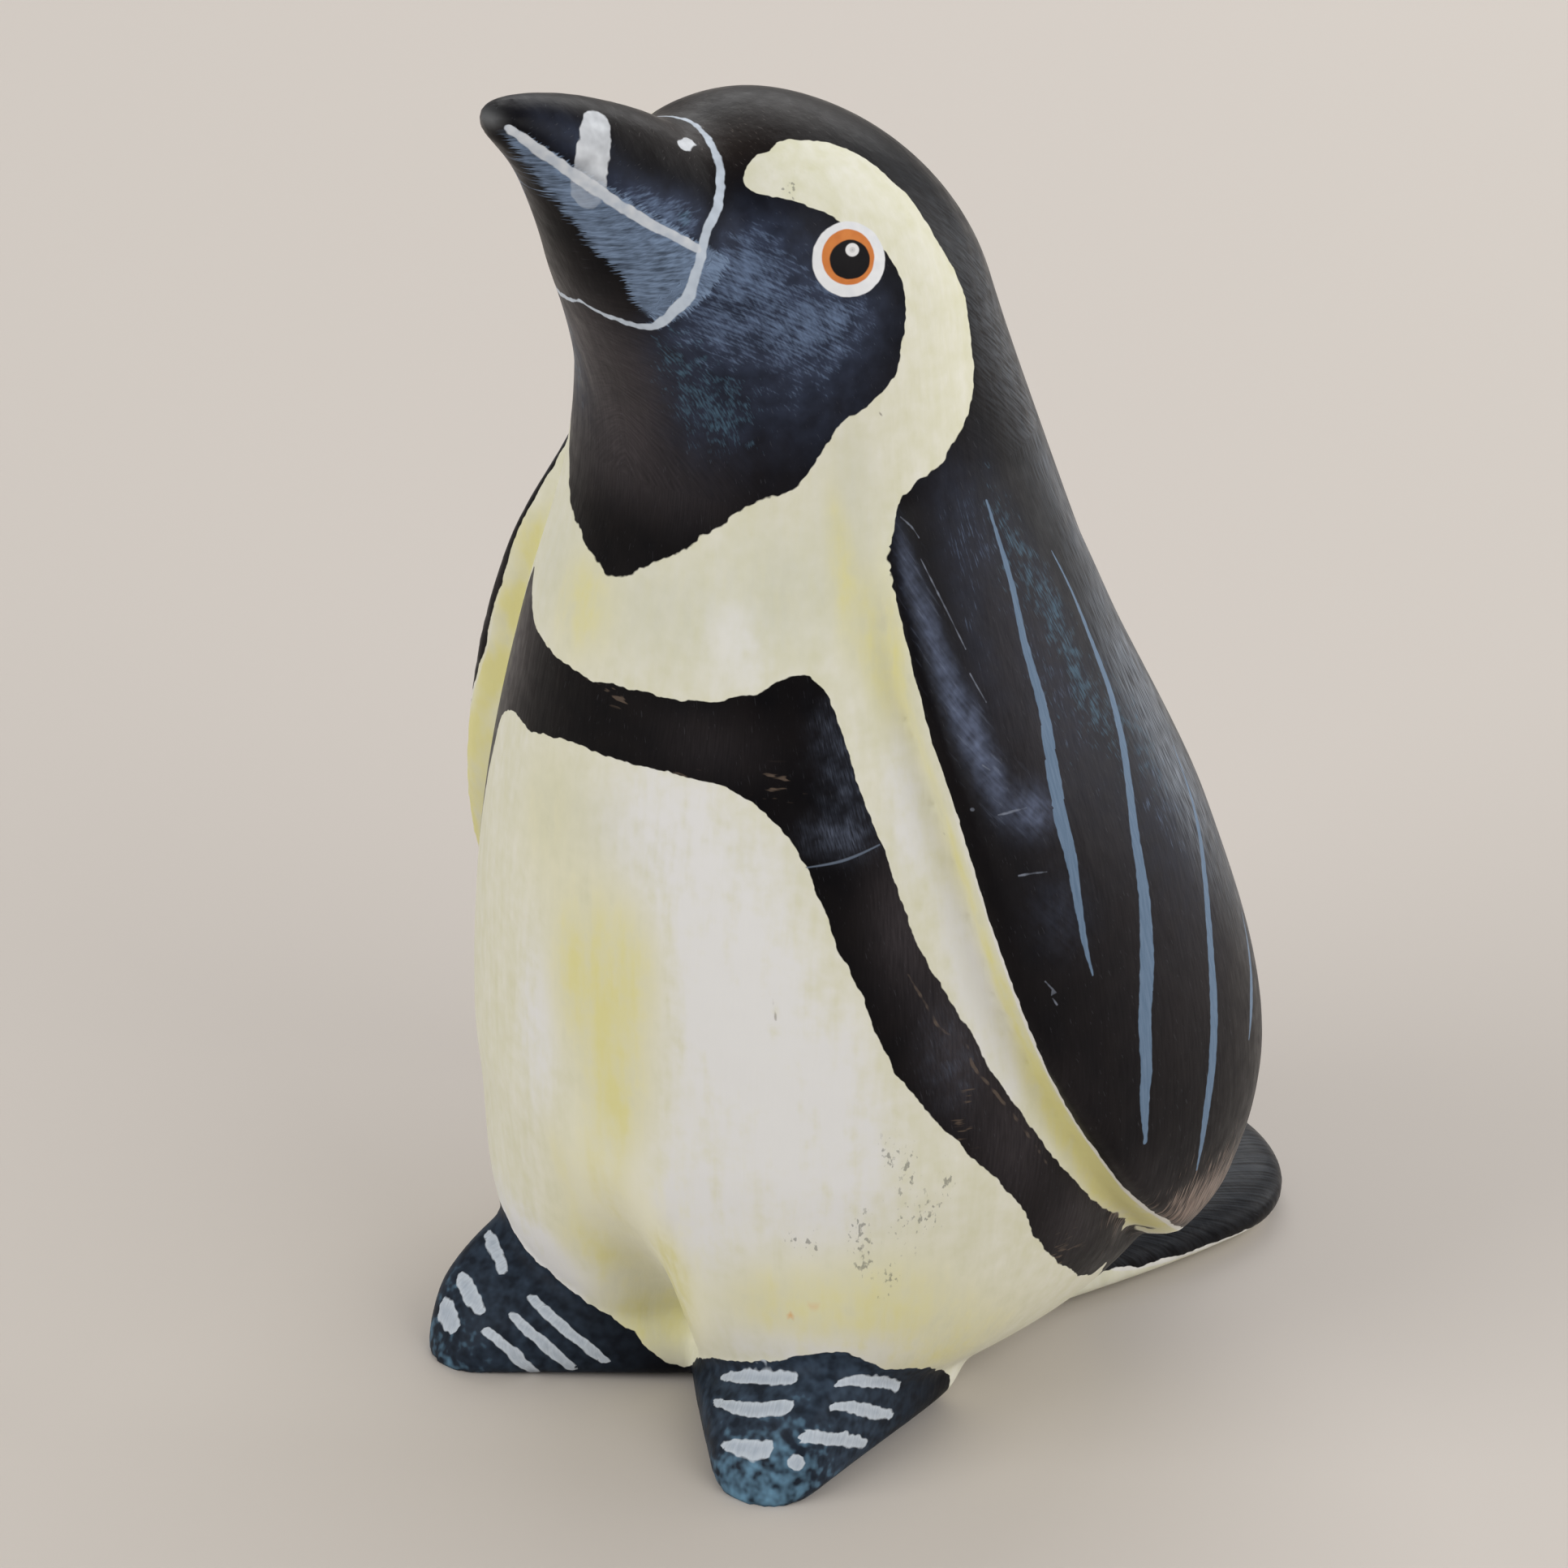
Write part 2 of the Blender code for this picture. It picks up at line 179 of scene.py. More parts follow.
# Rows of the body, bottom to top. Each row's angles are laid out so that one column follows
# the flipper's front edge. There the standoff climbs a quarter circle up to the lip, and
# behind it the flipper thins out towards the rear edge. A shallow groove runs before the lip.
def bodyRows():
    shape = flipperShape
    columns = shape["columns"]
    rowCount, crowding = bodyShape["rows"], bodyShape["rowCrowding"]
    share = np.linspace(0, 1, rowCount)[:, None]
    z = (crowding * (0.5 - 0.5 * np.cos(math.pi * share)) + (1 - crowding) * share) * bodyShape["crown"]
    front, rear, lip = flipperSection(z)
    lip = lip * ease(z, *shape["tipFade"]) * (1 - ease(z, *shape["shoulderFade"]))
    rear = np.maximum(rear, front + 2)
    halfWidth, _, halfDepth = bodySection(z)
    perDegree = np.maximum(np.radians((halfWidth + halfDepth) / 2), 0.02)
    lipTurn = np.linspace(0, math.pi / 2, columns["lip"])[None, :]
    nose = np.minimum(shape["lipRound"] / perDegree, (rear - front) / 3)
    before = np.linspace(0, 1, columns["before"])[None, :-1]
    after = np.linspace(0, 1, columns["outer"])[None, 1:]
    behind = np.linspace(0, 1, columns["behind"])[None, 1:-1]
    joined = ease(z, shape["looseBelow"], shape["joinedAbove"])
    noseEnd = front + nose
    outerAngle = noseEnd + (rear - noseEnd) * after
    chord = (outerAngle - front) / (rear - front)
    noseChord = nose / (rear - front)
    power = shape["loosePower"] + (shape["joinedPower"] - shape["loosePower"]) * joined
    fall = 1 - chord**power - 0.5 * chord ** shape["sinkPower"]
    start = 1 - noseChord**power
    outer = lip * np.maximum(fall, 0)
    groove = (front - before * front) * perDegree
    dip = -shape["grooveDepth"] * hill(groove, 0, shape["grooveWidth"]) * np.clip(lip / 2, 0, 1)
    noseDip = dip[:, -1:] * (1 - np.sin(lipTurn))
    angle = np.concatenate([
        before * front,
        front + nose * (1 - np.cos(lipTurn)),
        outerAngle,
        rear + (180 - rear) * behind,
    ], 1)
    standoff = np.concatenate([
        dip,
        lip * start * np.sin(lipTurn) + noseDip,
        outer,
        np.zeros((rowCount, 1)) * behind,
    ], 1)
    angle = np.concatenate([angle, np.full((rowCount, 1), 180.0), 360 - angle[:, :0:-1]], 1)
    standoff = np.concatenate([standoff, np.zeros((rowCount, 1)), standoff[:, :0:-1]], 1)
    rows = bodyPoint(angle, z, standoff)
    rows[0, :, 2] = -bodyShape["below"]
    return rows


# The beak

beakShape = {
    "length": 14.2,
    "tilt": 39,  # degrees up
    "turn": 9,  # degrees to the bird's right
    "rootForward": 20.7,
    "rootHeight": 81.4,
    "neckForward": 8,
    "above": ((-0.9, 9.6), (-0.3, 7.9), (0, 6.8), (0.35, 5.7), (0.65, 4.3), (0.85, 2.9), (1, 1.5)),
    "below": ((-0.9, 15), (-0.6, 11.1), (-0.3, 8.2), (0, 6), (0.2, 4.3), (0.4, 2.8),
              (0.6, 1.5), (1, 0.2)),
    "beside": ((-0.9, 10), (-0.6, 10.4), (-0.3, 9.1), (0, 6.9), (0.35, 4.8), (0.65, 3.2),
               (0.85, 2.1), (1, 1.4)),
    "blunt": 0.9,  # share of the length where the tip starts to round over
}


# x and y after a level turn about the neck, by so many degrees to the bird's left
def turnedAtNeck(x, y, degrees):
    yaw = np.radians(degrees)
    forward = y + beakShape["neckForward"]
    return (x * np.cos(yaw) - forward * np.sin(yaw),
            x * np.sin(yaw) + forward * np.cos(yaw) - beakShape["neckForward"])


# From the beak's own axes (along it, to its left, upwards) to the bird's
def beakToBird(along, x, lift):
    shape = beakShape
    tilt = math.radians(shape["tilt"])
    y = -shape["rootForward"] - along * math.cos(tilt) + lift * math.sin(tilt)
    z = shape["rootHeight"] + along * math.sin(tilt) + lift * math.cos(tilt)
    return stacked(*turnedAtNeck(x, y, -shape["turn"]), z)


# The other way round: points of the bird in the beak's own axes
def birdToBeak(points):
    shape = beakShape
    tilt = math.radians(shape["tilt"])
    x, y = turnedAtNeck(points[:, 0], points[:, 1], shape["turn"])
    back = y + shape["rootForward"]
    up = points[:, 2] - shape["rootHeight"]
    return up * math.sin(tilt) - back * math.cos(tilt), x, up * math.cos(tilt) + back * math.sin(tilt)


# Rings along the beak. Each is an oval, deeper above or below its axis as the outlines say,
# and the last tenth closes as half an ellipse.
def beakRows():
    shape = beakShape
    flare, blunt = shape["above"][0][0], shape["blunt"]
    share = np.concatenate([np.linspace(flare, blunt, 60), np.linspace(blunt, 1, 14)[1:]])[:, None]
    above, below, beside = (smoothCurve(shape[key], share) for key in ("above", "below", "beside"))
    tip = roundedEnd(share, blunt)
    lift = (above - below) / 2 + (above + below) / 2 * tip * np.sin(ringTurn)
    return beakToBird(shape["length"] * share, beside * tip * np.cos(ringTurn), lift)


# The tail

tailShape = {
    "start": 4, "end": 31.9, "halfWidth": 14.8, "swing": 2.2,
    "thickness": 5.4, "height": 1.5, "rise": 0.6,
    "rootShare": 0.88,  # of its width, where it leaves the body
    "roundFrom": 0.6, "thinFrom": 0.8,  # shares of the length
    "squareness": 0.8,
}


# Rings from inside the body to the end of a round paddle. Its plan is straight, then half an
# ellipse, and its edge thins as a quarter ellipse.
def tailRows():
    shape = tailShape
    share = np.linspace(0, 1, 90)[:, None]
    y = shape["start"] + (shape["end"] - shape["start"]) * np.sin(math.pi / 2 * share)
    along = (y - shape["start"]) / (shape["end"] - shape["start"])
    root = shape["rootShare"]
    spread = root + (1 - root) * np.sin(math.pi / 2 * np.clip(along / shape["roundFrom"], 0, 1))
    plan = spread * roundedEnd(along, shape["roundFrom"])
    edge = roundedEnd(along, shape["thinFrom"])
    x = shape["swing"] * along + shape["halfWidth"] * plan * keepSign(np.cos(ringTurn), shape["squareness"])
    layer = shape["height"] + shape["rise"] * (1 - along)
    z = layer + shape["thickness"] / 2 * edge * keepSign(np.sin(ringTurn), shape["squareness"])
    return stacked(x, y, z)


# The feet

footShape = {
    "length": 15.7, "width": 18.2, "height": 8.3, "toeHeight": 2.2, "arch": 3.5,
    "tilt": 0.32, "taper": 0.72, "buried": 4,
    "roundFrom": 0.86,  # share of the length
    "equator": 0.45,  # share of the height where a ring is widest
    "taperPower": 1.15, "sidePower": 0.7, "topPower": 0.8, "solePower": 0.45,
}
leftFoot = {"side": 1, "out": 7.2, "forward": 12.8, "splay": 26}
rightFoot = {"side": -1, "out": 7.2, "forward": 13.5, "splay": 29}


# A foot's half width and height at a share of its length
def footSize(reach, toeEnd=1):
    shape = footShape
    toe = roundedEnd(reach, shape["roundFrom"], toeEnd)
    halfWidth = shape["width"] / 2 * (1 - shape["taper"] * reach ** shape["taperPower"]) * toe
    fall = 1 - reach ** shape["arch"]
    return halfWidth, (shape["toeHeight"] + (shape["height"] - shape["toeHeight"]) * fall) * toe


# Rings from under the body to the toe. The top arches down late, the outer side stands
# higher, the sole is flat, and the last seventh rounds over.
def footRows(place):
    shape = footShape
    share = np.linspace(0, 1, 80)[:, None]
    along = -shape["buried"] + (shape["length"] + shape["buried"]) * np.sin(math.pi / 2 * share)
    halfWidth, height = footSize(np.clip(along / shape["length"], 0, 1))
    across = keepSign(np.cos(ringTurn), shape["sidePower"])
    up = np.abs(np.sin(ringTurn))
    equator = shape["equator"]
    over = equator + (1 - equator) * up ** shape["topPower"]
    profile = np.where(np.sin(ringTurn) >= 0, over, equator * (1 - up ** shape["solePower"]))
    z = height * (1 + shape["tilt"] * across) * profile - bodyShape["below"]
    across = halfWidth * across
    splay = math.radians(place["splay"])
    x = place["out"] + along * math.sin(splay) + across * math.cos(splay)
    y = -place["forward"] - along * math.cos(splay) + across * math.sin(splay)
    rows = stacked(x, y, z)
    return (rows * (-1, 1, 1))[:, ::-1] if place["side"] < 0 else rows


# One body of clay

clay = {
    "grain": 0.45,  # size of the even mesh over the joined forms
    "wipes": 4,
    "joinWipes": 110,
    "joins": (  # centre and reach of the places where a join was wiped softer
        ((-1, -16, 82), 7),
        ((-1, -21, 70.5), 10.5),
        ((9, -14, 77), 7),
        ((-9, -14, 77), 7),
    ),
}


# Corners and faces of a closed skin over rows of points, with a fan to a centre at each end
def skinOf(rows):
    rowCount, count = rows.shape[:2]
    points = np.concatenate([rows.reshape(-1, 3), rows[:1].mean(1), rows[-1:].mean(1)])
    i = np.arange(rowCount - 1)[:, None] * count
    j = np.arange(count)[None, :]
    k = (j + 1) % count
    quads = np.stack([i + j, i + k, i + count + k, i + count + j], -1).reshape(-1, 4)
    last = (rowCount - 1) * count
    j, k = j[0], k[0]
    bottom = np.stack([k, j, np.full(count, rowCount * count)], -1)
    top = np.stack([last + j, last + k, np.full(count, rowCount * count + 1)], -1)
    return points, quads, np.concatenate([bottom, top])


# A mesh from corner points in millimetres, four-sided faces and three-sided faces
def meshOf(name, points, quads, triangles):
    mesh = bpy.data.meshes.new(name)
    mesh.vertices.add(len(points))
    mesh.vertices.foreach_set("co", (points * metre).astype(np.float32).ravel())
    corners = np.concatenate([quads.ravel(), triangles.ravel()])
    mesh.loops.add(len(corners))
    mesh.loops.foreach_set("vertex_index", corners.astype(np.int32))
    sizes = np.concatenate([np.full(len(quads), 4), np.full(len(triangles), 3)])
    mesh.polygons.add(len(sizes))
    mesh.polygons.foreach_set("loop_start", np.concatenate([[0], np.cumsum(sizes)[:-1]]).astype(np.int32))
    mesh.update(calc_edges=True)
    mesh.validate()
    return mesh


# Several passes in which each point moves part of the way to the mean of its neighbours,
# with a weight at each point
def wiped(points, edges, weight, passes):
    count = len(points)
    neighbours = np.bincount(edges.ravel(), minlength=count)[:, None]
    for _ in range(passes):
        total = np.stack([
            np.bincount(edges[:, 0], points[edges[:, 1], k], count)
            + np.bincount(edges[:, 1], points[edges[:, 0], k], count)
            for k in range(3)
        ], -1)
        points = points + 0.5 * weight[:, None] * (total / neighbours - points)
    return points


# All forms in one skin: an even voxel mesh over them, joins wiped soft, underside flat
def clayMesh():
    allPoints, allQuads, allTriangles, first = [], [], [], 0
    for rows in (bodyRows(), beakRows(), tailRows(), footRows(leftFoot), footRows(rightFoot)):
        points, quads, triangles = skinOf(rows)
        allPoints.append(points)
        allQuads.append(quads + first)
        allTriangles.append(triangles + first)
        first += len(points)
    rough = meshOf("forms", np.concatenate(allPoints), np.concatenate(allQuads), np.concatenate(allTriangles))
    holder = bpy.data.objects.new("forms", rough)
    bpy.context.scene.collection.objects.link(holder)
    remesh = holder.modifiers.new("evenMesh", "REMESH")
    remesh.mode = "VOXEL"
    remesh.voxel_size = clay["grain"] * metre
    evaluated = holder.evaluated_get(bpy.context.evaluated_depsgraph_get())
    mesh = bpy.data.meshes.new_from_object(evaluated)
    bpy.data.objects.remove(holder)
    bpy.data.meshes.remove(rough)
    points = np.empty(len(mesh.vertices) * 3, np.float32)
    mesh.vertices.foreach_get("co", points)
    points = points.reshape(-1, 3).astype(float) / metre
    edges = np.empty(len(mesh.edges) * 2, np.int32)
    mesh.edges.foreach_get("vertices", edges)
    edges = edges.reshape(-1, 2)
    points = wiped(points, edges, np.ones(len(points)), clay["wipes"])
    soft = np.zeros(len(points))
    for centre, reach in clay["joins"]:
        away = np.linalg.norm(points - centre, axis=1)
        soft = np.maximum(soft, ease(-away, -reach, -0.5 * reach))
    points = wiped(points, edges, soft, clay["joinWipes"])
    points[:, 2] = np.maximum(points[:, 2], 0)
    mesh.vertices.foreach_set("co", (points * metre).astype(np.float32).ravel())
    mesh.update()
    return mesh, points


# Where the paint goes: flat maps of the body, and outlines drawn on them

# Degrees round from the front of points near the body, the angle its superellipse is drawn by
def bodyAngle(points):
    top = bodyShape["crown"] - bodyShape["paintMargin"]
    halfWidth, middle, halfDepth = bodySection(np.clip(points[:, 2], 0, top))
    power = bodyShape["squareness"] / 2
    across = keepSign(points[:, 0] / halfWidth, power)
    ahead = keepSign((middle - points[:, 1]) / halfDepth, power)
    return np.degrees(np.arctan2(across, ahead))


headMap = {"centre": (0, -9.5, 75), "eye": (11.06, -12.44, 80.25)}


# Millimetres back and up from the eye over the head's curve: the angle between the eye's
# direction and the point's, seen from the head's centre, laid out flat. The head is first
# turned straight by so many degrees, and its right side is folded onto the left.
def headPlaces(points, turned):
    x, y = turnedAtNeck(points[:, 0], points[:, 1], turned)
    centre, eye = np.array(headMap["centre"]), np.array(headMap["eye"])
    towards = eye - centre
    radius = np.linalg.norm(towards)
    towards = towards / radius
    up = np.array((0, 0, 1)) - towards * towards[2]
    up = up / np.linalg.norm(up)
    back = np.cross(up, towards)
    rays = stacked(np.abs(x), y, points[:, 2]) - centre
    rays = rays / np.linalg.norm(rays, axis=1)[:, None]
    angle = np.arccos(np.clip(rays @ towards, -1, 1))
    spread = radius * angle / np.maximum(np.sin(angle), 1e-6)
    return spread * (rays @ back), spread * (rays @ up)


# Along a foot from its root, and round it: 0 on top, positive to the outer side
def footPlaces(points, place):
    shape = footShape
    splay = math.radians(place["splay"])
    x = points[:, 0] * place["side"] - place["out"]
    y = -points[:, 1] - place["forward"]
    along = x * math.sin(splay) + y * math.cos(splay)
    across = x * math.cos(splay) - y * math.sin(splay)
    halfWidth, height = footSize(np.clip(along / shape["length"], 0, 1), footPaint["toeEnd"])
    level = np.clip(across / halfWidth, -1, 1)
    profile = (points[:, 2] + bodyShape["below"]) / (height * (1 + shape["tilt"] * level))
    equator = shape["equator"]
    rise = np.clip((profile - equator) / (1 - equator), 0, 1) ** (1 / shape["topPower"])
    turn = np.arctan2(rise, keepSign(level, 1 / shape["sidePower"]))
    under = np.clip(equator - profile, 0, 1) * height * np.sign(across)
    return along, footPaint["round"] * (math.pi / 2 - turn) + under


# A smooth curve through corners, each step between them cut in so many
def throughCorners(corners, closed, fine):
    corners = np.array(corners, float)
    if closed:
        before, after, last = np.roll(corners, 1, 0), np.roll(corners, -1, 0), np.roll(corners, -2, 0)
    else:
        before = np.concatenate([corners[:1], corners[:-2]])
        after = corners[1:]
        last = np.concatenate([corners[2:], corners[-1:]])
        corners = corners[:-1]
    t = (np.arange(fine) / fine)[None, :, None]
    start, stop = (after - before)[:, None] / 2, (last - corners)[:, None] / 2
    here, there = corners[:, None], after[:, None]
    rise = t * t * (3 - 2 * t)
    line = here + (there - here) * rise + start * t * (1 - t) ** 2 + stop * t * t * (t - 1)
    line = line.reshape(-1, line.shape[-1])
    return line if closed else np.concatenate([line, after[-1:]])


# Distance to a closed outline, positive inside: the nearest edge, and the number of edges
# that a level line from the point crosses
def insideDistance(u, v, corners, fine=5):
    outline = throughCorners(corners, True, fine)
    nearest = np.full(len(u), 1e6)
    inside = np.zeros(len(u), bool)
    for (au, av), (bu, bv) in zip(outline, np.roll(outline, -1, 0)):
        du, dv = bu - au, bv - av
        share = np.clip(((u - au) * du + (v - av) * dv) / (du * du + dv * dv + 1e-12), 0, 1)
        nearest = np.minimum(nearest, (u - au - share * du) ** 2 + (v - av - share * dv) ** 2)
        crosses = (av > v) != (bv > v)
        inside ^= crosses & (u < au + du * (v - av) / (dv if dv else 1e-12))
    return np.where(inside, 1, -1) * np.sqrt(nearest)


# Brush strokes: for each point the distance to the side of the nearest stroke's middle line,
# the distance beyond its ends, and its half width there. Each stroke is a list of places
# with the half width last.
def strokeMap(u, v, strokes, readTo=0.8):
    nearest = np.full(len(u), 1e6)
    side, over, half = np.full(len(u), 9.0), np.zeros(len(u)), np.full(len(u), -1.0)
    for stroke in strokes:
        line = throughCorners(stroke, False, 4)
        step = np.hypot(*np.diff(line[:, :2], axis=0).T)
        gone = np.concatenate([[0], np.cumsum(step)])
        for i, ((au, av, aw), (bu, bv, bw)) in enumerate(zip(line, line[1:])):
            du, dv = (bu - au) / step[i], (bv - av) / step[i]
            ahead = (u - au) * du + (v - av) * dv
            along = np.clip(ahead, 0, step[i])
            away = np.hypot(u - au - along * du, v - av - along * dv)
            closer = away < nearest
            nearest = np.where(closer, away, nearest)
            side = np.where(closer, (u - au) * dv - (v - av) * du, side)
            place = gone[i] + (ahead if i in (0, len(step) - 1) else along)
            over = np.where(closer, np.maximum(-place, place - gone[-1]), over)
            half = np.where(closer, aw + (bw - aw) * along / step[i], half)
    return side, over, np.where(nearest < readTo, half, -1)


# Soft patches joined into one wash, 0 to 1. Each is a place, its spread both ways, its strength.
def washMap(u, v, patches):
    bare = np.ones(len(u))
    for atU, atV, spreadU, spreadV, strength in patches:
        bare = bare * (1 - strength * hill(u, atU, spreadU) * hill(v, atV, spreadV))
    return 1 - bare


# Places on the head are millimetres back and up from the eye
headPaint = {
    "patch": (
        (-15, -18.8), (-13.4, -17.6), (-12, -17.1), (-10.6, -16.4), (-9.2, -15.7), (-7.9, -14.7),
        (-6.2, -13.7), (-4.7, -13.1), (-3.5, -12.5), (-2.5, -11.5), (-1.8, -10.5), (-0.9, -9.6), (0.5, -9),
        (2.1, -7.8), (3.1, -6), (3.7, -4), (3.7, -2), (3.1, -0.5), (2, 0.6), (0.6, 1.8), (-0.5, 2.6),
        (-1.3, 3.1), (-2.3, 3.6), (-3.4, 4.2), (-4.4, 4.7), (-5.1, 5.5), (-4.9, 6.4), (-4, 7.2),
        (-2.6, 8.2), (-3, 13), (-8, 14), (-16, 8), (-21, -4), (-19, -16),
    ),
    "cape": (
        (-6, 9), (-4.1, 7.3), (-2.3, 8), (-0.8, 8), (1.3, 7.5), (3.1, 6.4), (4.8, 4.6), (6.4, 2.2),
        (7.6, -0.4), (8.9, -2.9), (9.1, -5.3), (8.6, -7.7), (7.4, -9.5), (5.7, -10.9), (3.6, -12.1),
        (1.8, -12.9), (0.6, -13.4), (0, -14), (-0.6, -14.6), (-0.9, -15.2), (-0.9, -16.2), (-0.7, -17.4),
        (0.6, -19.2), (8, -22), (22, -24), (32, -8), (26, 12), (10, 24), (-6, 18),
    ),
    "capeAbove": 60,
    "patchAbove": 53,
    "washFrom": 61,
    "straightBelow": 66,  # the cape follows the head's turn only above here
    "turnedAbove": 76,
    "blue": (
        (-5.7, 0.9, 3.4, 2.6, 0.62), (-1.3, -3.6, 3.2, 2.4, 0.62), (-4.3, -3.6, 3.6, 3, 0.6),
        (-7.4, -0.7, 2.4, 3.4, 0.5), (-9.6, -3, 2.6, 3, 0.45), (-4, -8, 5, 3.4, 0.3),
    ),
    "teal": (
        (-10, -7.6, 3, 3.8, 0.52), (-8.4, -9.6, 3, 2.6, 0.42), (-11.4, -4.2, 2, 2.8, 0.46),
    ),
    # dust, with a painted reflection on the throat
    "dust": ((-16, -11, 3.5, 5, 0.8), (-14.5, -5, 2.4, 4, 0.6), (-11, -14, 4, 3, 0.35),
             (-18, -2, 3, 4, 0.8)),
    "brown": ((-6, 9, 4, 2.6, 0.9), (0, 11, 6, 3, 0.5)),
    "white": ((1, 5.5, 3.5, 2.5, 0.15),),
    "smudge": ((-2.7, 4.6, 0.55, 0.5, 1),),
}

